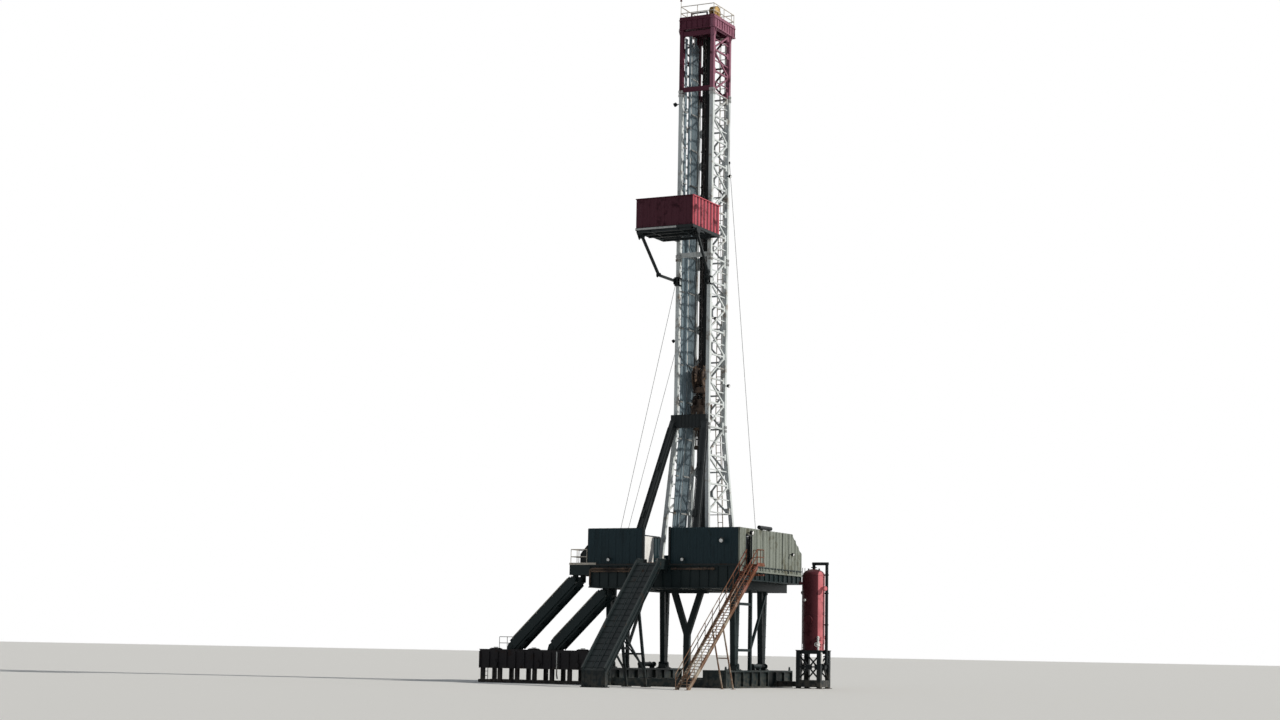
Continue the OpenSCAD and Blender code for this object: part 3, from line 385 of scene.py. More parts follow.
def addTube(bm, a, b, r, sides):
    a, b = Vector(a), Vector(b)
    made = bmesh.ops.create_cone(bm, cap_ends=True, segments=sides, radius1=r, radius2=r,
                                 depth=(b - a).length)["verts"]
    bmesh.ops.transform(bm, matrix=Matrix.Translation((a + b) / 2) @ alongTurn(a, b), verts=made)


def onX(v):
    return Vector((v, 0, 0))


def onY(v):
    return Vector((0, v, 0))


def onZ(v):
    return Vector((0, 0, v))


def stepped(value, end, gap):
    while value < end:
        yield value
        value += gap


def addPad(bm, x, y, halfX, halfY, low, high):
    # A box round an upright line
    addBox(bm, (x - halfX, y - halfY, low), (x + halfX, y + halfY, high))


def addPin(bm, at, half, r, sides):
    # A round pin along X
    addTube(bm, Vector(at) - onX(half), Vector(at) + onX(half), r, sides)


def addPost(bm, foot, high, r, sides):
    addTube(bm, foot, Vector(foot) + onZ(high), r, sides)


def addPath(bm, points, r, sides):
    for a, b in zip(points, points[1:]):
        addTube(bm, a, b, r, sides)
    for p in points[1:-1]:
        made = bmesh.ops.create_icosphere(bm, subdivisions=1, radius=r * 1.04)["verts"]
        bmesh.ops.translate(bm, vec=Vector(p), verts=made)


def addPrism(bm, points, along):
    # A flat outline pushed along a vector
    foot = [bm.verts.new(p) for p in points]
    head = [bm.verts.new(Vector(p) + Vector(along)) for p in points]
    bm.faces.new(foot)
    bm.faces.new(head)
    for i in range(len(points)):
        k = (i + 1) % len(points)
        bm.faces.new((foot[i], foot[k], head[k], head[i]))


def addTurned(bm, foot, axis, profile, sides):
    # A turned shape: profile holds (radius, distance along the axis)
    turn = Vector(axis).to_track_quat("Z", "Y").to_matrix()
    rings = []
    for r, h in profile:
        count = 1 if r < 1e-6 else sides
        rings.append([
            bm.verts.new(Vector(foot) + turn @ Vector((r * math.cos(t), r * math.sin(t), h)))
            for t in (2 * math.pi * k / sides for k in range(count))
        ])
    for a, b in zip(rings, rings[1:]):
        for k in range(sides):
            n = (k + 1) % sides
            face = []
            for v in (a[k % len(a)], a[n % len(a)], b[n % len(b)], b[k % len(b)]):
                if v not in face:
                    face.append(v)
            if len(face) > 2:
                bm.faces.new(face)


def addDisc(bm, foot, axis, r, thick, sides):
    addTurned(bm, foot, axis, [(0, 0), (r, 0), (r, thick), (0, thick)], sides)


def addRing(bm, foot, axis, inner, outer, high, sides):
    profile = [(inner, 0), (outer, 0), (outer, high), (inner, high), (inner, 0)]
    addTurned(bm, foot, axis, profile, sides)


def addBolts(bm, centre, axis, ring, count, size):
    # A ring of hexagon nuts round an axis
    axis = Vector(axis).normalized()
    turn = axis.to_track_quat("Z", "Y").to_matrix()
    for k in range(count):
        t = 2 * math.pi * k / count
        at = Vector(centre) + turn @ Vector((ring * math.cos(t), ring * math.sin(t), 0))
        addTube(bm, at, at + axis * size, size * 0.6, 6)


def addRailing(bm, points, high, r, gap):
    # Two rails with posts along a path of floor points
    for a, b in zip(points, points[1:]):
        a, b = Vector(a), Vector(b)
        for share in (1.0, 0.52):
            lift = Vector((0, 0, high * share))
            addTube(bm, a + lift, b + lift, r, 8)
        count = max(1, round((b - a).length / gap))
        for i in range(count + 1):
            foot = a.lerp(b, i / count)
            addTube(bm, foot, foot + Vector((0, 0, high)), r * 0.9, 6)


def finishPiece(name, bm, paint, body="rig"):
    bmesh.ops.recalc_face_normals(bm, faces=bm.faces[:])
    for edge in bm.edges:
        edge.smooth = len(edge.link_faces) == 2 and edge.calc_face_angle(4.0) < math.radians(37)
    for face in bm.faces:
        face.smooth = True
    mesh = bpy.data.meshes.new(name)
    bm.to_mesh(mesh)
    bm.free()
    piece = bpy.data.objects.new(name, mesh)
    scene.collection.objects.link(piece)
    mesh.materials.append(paints[paint])
    if body:
        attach(piece, body)
    return piece


# Main heights and the mast's leg lines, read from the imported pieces
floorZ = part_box("drill_floor")[1].z
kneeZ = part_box("mast_middle")[0].z
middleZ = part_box("mast_upper")[0].z
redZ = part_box("mast_top")[0].z
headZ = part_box("mast_top")[1].z
crownLo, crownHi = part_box("crown_frame")
mast = {"wide": 0.675, "deep": 0.75, "footWide": 1.0, "footDeep": 1.25, "footZ": floorZ + 0.085,
    "leg": 0.15}


def legAt(sx, sy, z):
    share = min(1, max(0, (z - mast["footZ"]) / (kneeZ - mast["footZ"])))
    wide = mast["footWide"] + (mast["wide"] - mast["footWide"]) * share
    deep = mast["footDeep"] + (mast["deep"] - mast["footDeep"]) * share
    return Vector((sx * wide, sy * deep, z))


# Mast joints: gusset plates, light struts between the bays, splice collars and pins
joints = {"plate": 0.15, "plateHigh": 0.24, "thick": 0.074, "strut": 0.030, "collar": 0.19, "pin": 0.032}


def addMastJoints(s, name, paint, sections):
    bm = bmesh.new()
    for low, high, sideBays, rearBays in sections:
        for i in range(sideBays + 1):
            z = low + (high - low) * i / sideBays
            edge = 0.13 if i in (0, sideBays) else 0
            z += edge if i == 0 else -edge
            for sx in (-1, 1):
                for sy in (-1, 1):
                    p = legAt(sx, sy, z)
                    y = p.y - sy * (mast["leg"] / 2 + s["plate"] / 2 - 0.01)
                    addPad(bm, p.x, y, s["thick"] / 2, s["plate"] / 2, z - s["plateHigh"] / 2,
                        z + s["plateHigh"] / 2)
                if i < sideBays:
                    mid = low + (high - low) * (i + 0.5) / sideBays
                    addBar(bm, legAt(sx, -1, mid), legAt(sx, 1, mid), s["strut"], s["strut"] * 1.3)
        for i in range(rearBays + 1):
            z = low + (high - low) * i / rearBays
            edge = 0.13 if i in (0, rearBays) else 0
            z += edge if i == 0 else -edge
            for sx in (-1, 1):
                p = legAt(sx, 1, z)
                x = p.x - sx * (mast["leg"] / 2 + s["plate"] / 2 - 0.01)
                addPad(bm, x, p.y, s["plate"] / 2, s["thick"] / 2, z - s["plateHigh"] / 2,
                    z + s["plateHigh"] / 2)
            if i < rearBays:
                mid = low + (high - low) * (i + 0.5) / rearBays
                y = legAt(1, 1, mid).y
                addBox(bm, (-0.13, y - s["thick"] / 2, mid - 0.11),
                    (0.13, y + s["thick"] / 2, mid + 0.11))
    finishPiece(name, bm, paint)


addMastJoints(joints, "mast_gussets", "mast",
    [(floorZ + 2.1, kneeZ, 3, 2), (kneeZ, middleZ, 7, 5), (middleZ, redZ, 7, 5)])
addMastJoints(joints, "mast_top_gussets", "top", [(redZ, headZ, 3, 2)])


def addMastCollars(s):
    bm = bmesh.new()
    half = s["collar"] / 2
    for level in (kneeZ, middleZ, redZ):
        for sx, sy in corners:
            p = legAt(sx, sy, level)
            for dz in (-0.13, 0.02):
                addPad(bm, p.x, p.y, half, half, level + dz, level + dz + 0.11)
            for dz in (-0.075, 0.075):
                addTube(bm, p + Vector((-half - 0.025, 0, dz)), p + Vector((half + 0.025, 0, dz)),
                    s["pin"], 12)
                addTube(bm, p + Vector((0, -half - 0.02, dz)), p + Vector((0, half + 0.02, dz)),
                    s["pin"] * 0.7, 8)
    for sx, sy in corners:
        # Foot pins in their shoes
        p = legAt(sx, sy, floorZ + 0.13)
        for side in (-1, 1):
            addPad(bm, p.x + side * 0.125, p.y, 0.02, 0.13, floorZ + 0.01, floorZ + 0.30)
        addTube(bm, p + Vector((-0.2, 0, 0.05)), p + Vector((0.2, 0, 0.05)), 0.055, 14)
        for dx in (-0.17, 0.17):
            for dy in (-0.15, 0.15):
                at = Vector((p.x + dx, p.y + dy, floorZ))
                addPost(bm, at, 0.035, 0.018, 6)
        addPad(bm, p.x, p.y, 0.2, 0.18, floorZ, floorZ + 0.014)
    finishPiece("mast_collars", bm, "galvanised")


addMastCollars(joints)


# Runs on the mast's left side: standpipes, a climbing ladder and a cable tray
runs = {"inside": 0.085, "pipe": 0.055, "rungGap": 0.15, "ladder": (-0.04, 0.20), "tray": (0.24, 0.44)}


def besideLeft(y, z, inside):
    return Vector((legAt(-1, 0, z).x + inside, y, z))


def addLeftRuns(s):
    pale = bmesh.new()
    low, high = floorZ + 0.35, headZ - 0.25
    for y, top in ((-0.36, middleZ + 1.6), (-0.17, high)):
        points = [besideLeft(y * (1.25 if z < kneeZ else 1), z, s["inside"]) for z in (low, kneeZ, top)]
        addPath(pale, points, s["pipe"], 14)
        for z in stepped(low + 0.8, top, 2.05):
            p = besideLeft(y * (1.0 + 0.25 * min(1, max(0, (kneeZ - z) / (kneeZ - low)))), z, s["inside"])
            addDisc(pale, p, (0, 0, 1), 0.066, 0.09, 14)
        bend = [points[-1] + Vector((0.02 * math.sin(t), -0.16 * (1 - math.cos(t)),
            0.16 * math.sin(t))) for t in (math.pi * k / 8 for k in range(7))]
        addPath(pale, bend, s["pipe"], 12)
    # Base elbow of the standpipe manifold
    for y in (-0.45, -0.2125):
        foot = besideLeft(y, low, s["inside"])
        addPath(pale, [foot, foot + Vector((0.0, 0, -0.14)), foot + Vector((0.05, -0.35, -0.14))],
            s["pipe"], 12)
        addDisc(pale, foot + Vector((0.05, -0.35, -0.14)), (0, -1, 0), 0.085, 0.05, 16)
    finishPiece("standpipes", pale, "pipe")

    bm = bmesh.new()
    near, far = s["ladder"]
    levels = [floorZ + 0.02, kneeZ, headZ - 0.02]
    for y in (near, far):
        for a, b in zip(levels, levels[1:]):
            addBar(bm, besideLeft(y, a, s["inside"]), besideLeft(y, b, s["inside"]), 0.022, 0.034)
    for z in stepped(floorZ + 0.2, headZ - 0.1, s["rungGap"]):
        addTube(bm, besideLeft(near, z, s["inside"]), besideLeft(far, z, s["inside"]), 0.010, 6)
    for y in (near, far):
        for z in stepped(floorZ + 0.8, headZ - 0.2, 1.6):
            p = besideLeft(y, z, 0)
            addBox(bm, (p.x + 0.02, y - 0.012, z - 0.02),
                (p.x + s["inside"] + 0.005, y + 0.012, z + 0.02))
    finishPiece("mast_side_ladder", bm, "white")

    bm = bmesh.new()
    near, far = s["tray"]
    for y in (near, far):
        for a, b in zip(levels, levels[1:]):
            addBar(bm, besideLeft(y, a, 0.06), besideLeft(y, b, 0.06), 0.012, 0.05)
    for z in stepped(floorZ + 0.3, headZ - 0.1, 0.45):
        addBar(bm, besideLeft(near, z, 0.045), besideLeft(far, z, 0.045), 0.03, 0.010)
    finishPiece("cable_tray", bm, "galvanised")
    bm = bmesh.new()
    for k in range(5):
        y = near + 0.025 + (far - near - 0.05) * k / 4
        addPath(bm, [besideLeft(y, z, 0.065) for z in levels], 0.013, 7)
    finishPiece("left_cables", bm, "pipe")
    # Bundle of cables beside the guide rail
    bm = bmesh.new()
    for k in range(7):
        x = -0.175 - 0.040 * k
        addTube(bm, (x, 0.665, floorZ + 0.02), (x, 0.665, headZ - 0.05), 0.019, 8)
    for z in stepped(floorZ + 0.7, headZ - 0.2, 1.45):
        addBox(bm, (-0.45, 0.640, z), (-0.145, 0.690, z + 0.05))
    finishPiece("mast_cables", bm, "rubber")


addLeftRuns(runs)


# Service hoses up the mast's left side, clamped every bay
hoses = {
    "r": 0.025,
    "clamp": 1.45,
    "rows": (
        ((-0.58, -0.52, -0.46), 0.075),
        ((-0.08, 0.03, 0.14, 0.25, 0.36), 0.150),
        ((0.52, 0.58), 0.075),
    ),
}


def addServiceHoses(s):
    bm, clamps = bmesh.new(), bmesh.new()
    low = floorZ + 0.25
    for ys, inside in s["rows"]:
        top = headZ - (0.45 if inside > 0.1 else 0.30)
        for k, y in enumerate(ys):
            end = top - 0.12 * (k % 2)
            points = [besideLeft(y, z, inside) for z in (low, kneeZ, end)]
            addPath(bm, points, s["r"], 9)
            for p, way in ((points[0], -1), (points[-1], 1)):
                addTurned(bm, p, (0, 0, way), [(0, -0.06), (s["r"] * 1.45, -0.06), (s["r"] * 1.45, 0.0),
                    (s["r"] * 1.1, 0.02), (0, 0.02)], 10)
        for z in stepped(low + 0.4, top - 0.3, s["clamp"]):
            a, b = besideLeft(ys[0] - 0.045, z, inside), besideLeft(ys[-1] + 0.045, z, inside)
            for off in (-1, 1):
                step = Vector((off * (s["r"] + 0.006), 0, 0))
                addBar(clamps, a + step, b + step, 0.010, 0.055)
            for p in (a, b):
                addPin(clamps, p, 0.045, 0.010, 6)
    finishPiece("service_hoses", bm, "pipe")
    finishPiece("hose_clamps", clamps, "galvanised")


addServiceHoses(hoses)


# Lamps: a housing with cooling ribs, a bracket and a pale glass
lamps = [
    ((-2.02, -3.50, floorZ + 0.16), (0, -1, -0.2), 1.0), ((1.08, -3.50, floorZ + 0.16), (0, -1, -0.2), 1.0),
    ((2.69, -3.50, floorZ + 0.86), (0, -1, -0.3), 1.25), ((3.36, -2.78, floorZ + 1.17), (1, 0, -0.3), 1.2),
    ((3.36, 1.2, floorZ + 0.55), (1, 0, -0.3), 0.9), ((-3.1, 1.0, floorZ + 1.0), (-1, 0, -0.3), 0.9),
    ((-0.8, -0.75, 22.9), (-1, 0, -0.4), 1.1), ((0.78, 0.55, 20.1), (1, 0, -0.4), 0.9),
    ((0.78, -0.62, 14.2), (1, 0, -0.5), 0.9), ((-0.8, -0.62, 13.4), (-1, 0, -0.5), 0.9),
    ((0.80, 0.62, 11.7), (1, 0, -0.4), 0.9), ((0.0, 2.40, floorZ + 0.45), (0, 1, -0.3), 0.9),
]


def addLamps(places):
    bodies, glass = bmesh.new(), bmesh.new()
    for at, facing, size in places:
        at, out = Vector(at), Vector(facing).normalized()
        flat = Vector((out.x, out.y, 0)).normalized()
        centre = at + flat * 0.12 * size
        addBar(bodies, at - flat * 0.02, centre, 0.03, 0.03)
        r = 0.075 * size
        addTurned(bodies, centre - out * 0.05 * size, out,
            [(0, 0), (r * 0.55, 0), (r * 0.7, 0.03 * size), (r, 0.06 * size), (r, 0.105 * size),
            (r * 0.86, 0.105 * size), (r * 0.86, 0.098 * size), (0, 0.098 * size)], 16)
        addTurned(glass, centre + out * 0.046 * size, out,
            [(0, 0), (r * 0.84, 0), (r * 0.7, 0.014), (0, 0.02)], 16)
        for k in (0.008, 0.022, 0.036):
            addTurned(bodies, centre - out * (0.05 - k) * size, out,
                [(r * 0.5, 0), (r * 0.92, 0), (r * 0.92, 0.005), (r * 0.5, 0.005)], 16)
    finishPiece("lamp_bodies", bodies, "stand")
    finishPiece("lamp_glasses", glass, "lamp")


addLamps(lamps)
print("mast details done")


# Top of the mast: walkway grating, kick plates, beacon and sheave fittings
crownFit = {"slat": 0.055, "kick": 0.10, "side": 0.26}


def addCrownFittings(s):
    lo, hi = crownLo, crownHi
    bm = bmesh.new()
    patches = [((lo.x, lo.y), (hi.x, -0.42)), ((lo.x, -0.42), (-s["side"], hi.y)),
        ((s["side"], -0.42), (hi.x, hi.y)), ((-s["side"], 1.06), (s["side"], hi.y))]
    for a, b in patches:
        for x in stepped(a[0], b[0] - 0.01, s["slat"]):
            addBox(bm, (x, a[1], hi.z - 0.028), (x + 0.008, b[1], hi.z + 0.004))
        for y in stepped(a[1], b[1], 0.22):
            addBox(bm, (a[0], y, hi.z - 0.012), (b[0], y + 0.008, hi.z + 0.003))
    finishPiece("crown_grating", bm, "iron")
    bm = bmesh.new()
    z = hi.z
    edge = 0.015
    for a, b in (((lo.x, lo.y), (hi.x, lo.y)), ((hi.x, lo.y), (hi.x, hi.y)),
            ((hi.x, hi.y), (lo.x, hi.y)), ((lo.x, hi.y), (lo.x, lo.y))):
        addBar(bm, (*a, z + s["kick"] / 2), (*b, z + s["kick"] / 2), edge, s["kick"])
    # Flanges and stiffeners on the deck beams
    for y in (lo.y - 0.012, hi.y + 0.012):
        for zz in (lo.z + 0.02, hi.z - 0.02):
            addBox(bm, (lo.x, y - 0.022, zz - 0.02), (hi.x, y + 0.022, zz + 0.02))
        for k in range(7):
            x = lo.x + 0.05 + (hi.x - lo.x - 0.1) * k / 6
            addPad(bm, x, y, 0.012, 0.018, lo.z + 0.03, hi.z - 0.03)
    for x in (lo.x - 0.012, hi.x + 0.012):
        for zz in (lo.z + 0.02, hi.z - 0.02):
            addBox(bm, (x - 0.022, lo.y, zz - 0.02), (x + 0.022, hi.y, zz + 0.02))
        for k in range(9):
            y = lo.y + 0.05 + (hi.y - lo.y - 0.1) * k / 8
            addPad(bm, x, y, 0.018, 0.012, lo.z + 0.03, hi.z - 0.03)
    # Knee plates between the legs and the deck
    for sx, sy in corners:
        p = legAt(sx, sy, headZ)
        out = onX(sx * 0.075)
        addPrism(bm, [p + out + onY(-0.012), p + out + Vector((sx * 0.09, -0.012, 0)),
            p + out + Vector((0, -0.012, -0.32))], (0, 0.024, 0))
    finishPiece("crown_trim", bm, "top")
    bm = bmesh.new()
    for y in (0, 0.662):
        for x in (-0.345, 0.345):
            side = 1 if x > 0 else -1
            at = Vector((x + side * 0.006, y, crownHi.z + 0.06))
            addTurned(bm, at - onX(side * 0.01), (side, 0, 0),
                [(0, 0), (0.07, 0), (0.07, 0.02), (0.035, 0.03), (0, 0.03)], 18)
            addBolts(bm, at, (side, 0, 0), 0.055, 6, 0.026)
    # Small sheave and its block at the left rear
    addTurned(bm, (-0.68, 0.96, 26.42), (0, 1, 0),
        [(0, 0), (0.12, 0), (0.10, 0.03), (0.12, 0.06), (0, 0.06)], 20)
    addBox(bm, (-0.71, 0.95, 26.30), (-0.65, 1.03, 26.44))
    # Cross rail with a hanging block over the fast line
    addTube(bm, (-0.35, -0.62, crownHi.z + 0.28), (0.35, -0.62, crownHi.z + 0.28), 0.03, 10)
    for x in (-0.34, 0.34):
        addBar(bm, (x, -0.62, crownHi.z), (x, -0.62, crownHi.z + 0.29), 0.05, 0.05)
    finishPiece("crown_bearings", bm, "iron")
    # Guard: bands and bolted flanges
    glo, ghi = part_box("sheave_guard")
    bm = bmesh.new()
    cy = (glo.y + ghi.y) / 2
    r = (ghi.y - glo.y) / 2 + 0.004
    for x in (glo.x + 0.004, (glo.x + ghi.x) / 2, ghi.x - 0.004):
        for k in range(12):
            t0, t1 = math.pi * k / 12, math.pi * (k + 1) / 12
            a = Vector((x, cy + r * math.cos(t0), ghi.z - r + 0.004 + r * math.sin(t0)))
            b = Vector((x, cy + r * math.cos(t1), ghi.z - r + 0.004 + r * math.sin(t1)))
            addBar(bm, a, b, 0.03, 0.012)
    finishPiece("guard_bands", bm, "guard")
    # Beacon on its pole
    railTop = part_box("crown_handrail")[1].z
    bm = bmesh.new()
    top = Vector((crownLo.x + 0.034, crownLo.y + 0.034, railTop))
    addTurned(bm, top - onZ(0.12), (0, 0, 1), [(0, 0), (0.045, 0), (0.045, 0.03), (0.03, 0.035),
        (0.036, 0.05), (0.03, 0.10), (0, 0.12)], 16)
    finishPiece("beacon", bm, "top")
    # Feet of the handrail posts, and short posts at the sides
    bm = bmesh.new()
    for x in (crownLo.x + 0.034, 0, crownHi.x - 0.034):
        for y in (crownLo.y + 0.034, crownHi.y - 0.034):
            addPad(bm, x, y, 0.04, 0.04, crownHi.z + 0.002, crownHi.z + 0.016)
            addTube(bm, (x, y, crownHi.z), (x, y, crownHi.z + 0.09), 0.024, 10)
    for x in (crownLo.x + 0.034, crownHi.x - 0.034):
        for y in (crownLo.y + 0.6, crownLo.y + 1.7):
            addTube(bm, (x, y, crownHi.z), (x, y, crownHi.z + 0.55), 0.014, 8)
    finishPiece("crown_rail_feet", bm, "rail")


addCrownFittings(crownFit)
print("crown details done")


# Racking board: frame, wall posts, grating, toe strip and rail
boardFit = {"post": 0.045, "slat": 0.06, "strip": 0.085, "walk": 1.15}


def addBoardDetails(s):
    lo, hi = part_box("racking_board")
    wallLo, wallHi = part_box("board_windwalls")
    bm = bmesh.new()
    inside = 0.075
    turns = [(lo.x + inside, hi.y), (lo.x + inside, lo.y + inside), (hi.x - inside, lo.y + inside),
        (hi.x - inside, hi.y)]
    for a, b in zip(turns, turns[1:]):
        a, b = Vector((*a, 0)), Vector((*b, 0))
        for z in (wallHi.z - 0.03, (wallLo.z + wallHi.z) / 2, wallLo.z + 0.05):
            lift = onZ(z)
            addBar(bm, a + lift, b + lift, s["post"], s["post"])
        count = max(2, round((b - a).length / 0.6))
        for i in range(count + 1):
            p = a.lerp(b, i / count)
            addPad(bm, p.x, p.y, 0.02, 0.02, lo.z, wallHi.z - 0.01)
    finishPiece("board_frame_posts", bm, "machine")
    bm = bmesh.new()
    # Cap on the walls' upper edge, and the strip under them
    for a, b in (((lo.x, lo.y + 0.012), (hi.x, lo.y + 0.012)),
            ((hi.x - 0.012, lo.y), (hi.x - 0.012, hi.y)), ((lo.x + 0.012, lo.y), (lo.x + 0.012, hi.y))):
        addBar(bm, (*a, wallHi.z - 0.012), (*b, wallHi.z - 0.012), 0.05, 0.03)
    finishPiece("board_wall_caps", bm, "board")
    bm = bmesh.new()
    addBox(bm, (lo.x, lo.y - 0.018, lo.z + 0.015), (lo.x + 1.75, lo.y + 0.004, lo.z + s["strip"]))
    for k in range(8):
        x = lo.x + 0.1 + 0.22 * k
        addTube(bm, (x, lo.y - 0.028, lo.z + 0.05), (x, lo.y, lo.z + 0.05), 0.014, 6)
    finishPiece("board_toe_strip", bm, "galvanised")
    bm = bmesh.new()
    # Beams and feet under the walkway
    for y in (lo.y + 0.06, lo.y + 0.55, lo.y + s["walk"] - 0.06):
        addBox(bm, (lo.x + 0.03, y - 0.03, lo.z - 0.09), (hi.x - 0.03, y + 0.03, lo.z + 0.01))
    for x in (lo.x + 0.06, lo.x + 0.63, hi.x - 0.63, hi.x - 0.06):
        addBox(bm, (x - 0.03, lo.y + 0.03, lo.z - 0.07), (x + 0.03, lo.y + s["walk"] - 0.02, lo.z + 0.01))
    for x in (lo.x + 0.05, hi.x - 0.05):
        y = lo.y + 0.40
        addPad(bm, x, y, 0.10, 0.17, lo.z - 0.10, lo.z)
        for side in (-1, 1):
            addPrism(bm, [(x + side * 0.085, y - 0.15, lo.z - 0.09),
                (x + side * 0.085, y + 0.15, lo.z - 0.09), (x + side * 0.085, y + 0.07, lo.z - 0.26),
                (x + side * 0.085, y - 0.02, lo.z - 0.26)], (side * 0.014, 0, 0))
        addPin(bm, (x, y + 0.03, lo.z - 0.20), 0.12, 0.026, 12)
    # Knuckles of the two-part braces
    for side in (-1, 1):
        knee = Vector((side * 1.06, -1.7253, lo.z - 1.45))
        for t in (-0.06, 0.06):
            addDisc(bm, knee + onX(t - 0.01), (1, 0, 0), 0.085, 0.02, 16)
        addPin(bm, knee, 0.09, 0.028, 12)
        shoe = Vector((side * 0.675, -0.90, lo.z - 1.6))
        for t in (-0.075, 0.06):
            addBox(bm, (shoe.x + t, shoe.y - 0.16, shoe.z - 0.12),
                (shoe.x + t + 0.015, shoe.y + 0.07, shoe.z + 0.12))
        addTube(bm, shoe + Vector((-0.10, -0.05, 0)), shoe + Vector((0.10, -0.05, 0)), 0.026, 12)
        # Clamp round the leg
        addBox(bm, (shoe.x - 0.10, -0.85, shoe.z - 0.17), (shoe.x + 0.10, -0.655, shoe.z - 0.11))
        addBox(bm, (shoe.x - 0.10, -0.85, shoe.z + 0.11), (shoe.x + 0.10, -0.655, shoe.z + 0.17))
    finishPiece("board_underframe", bm, "machine")
    bm = bmesh.new()
    for x in stepped(lo.x + 0.09, hi.x - 0.08, s["slat"]):
        addBox(bm, (x, lo.y + 0.09, hi.z), (x + 0.008, lo.y + s["walk"], hi.z + 0.012))
    for y in (-2.3, -2.9):
        addBox(bm, (lo.x + 0.09, y, hi.z), (hi.x - 0.09, y + 0.01, hi.z + 0.010))
    # Finger tips and latches
    flo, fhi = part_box("board_fingers")
    for k in range(3):
        y = flo.y + 0.015 + (fhi.y - flo.y - 0.03) * k / 2
        for side in (-1, 1):
            addTurned(bm, (side * 0.25, y, hi.z - 0.05), (0, 0, 1),
                [(0, 0), (0.024, 0), (0.024, 0.05), (0, 0.055)], 12)
            for j in range(4):
                x = side * (0.35 + 0.2 * j)
                addPad(bm, x, y, 0.015, 0.02, hi.z - 0.022, hi.z + 0.012)
    finishPiece("board_grating", bm, "iron")
    # Rails between the board and the mast
    bm = bmesh.new()
    for side in (-1, 1):
        addRailing(bm, [(side * 0.42, hi.y, hi.z), (side * 1.13, hi.y, hi.z)], 0.55, r=0.014, gap=0.4)
    finishPiece("board_rear_rails", bm, "rail")


addBoardDetails(boardFit)


# Hoist: fittings that ride with the travelling block and the top drive
hoistFit = {"fin": 0.010, "bolt": 0.020, "hose": 0.022}


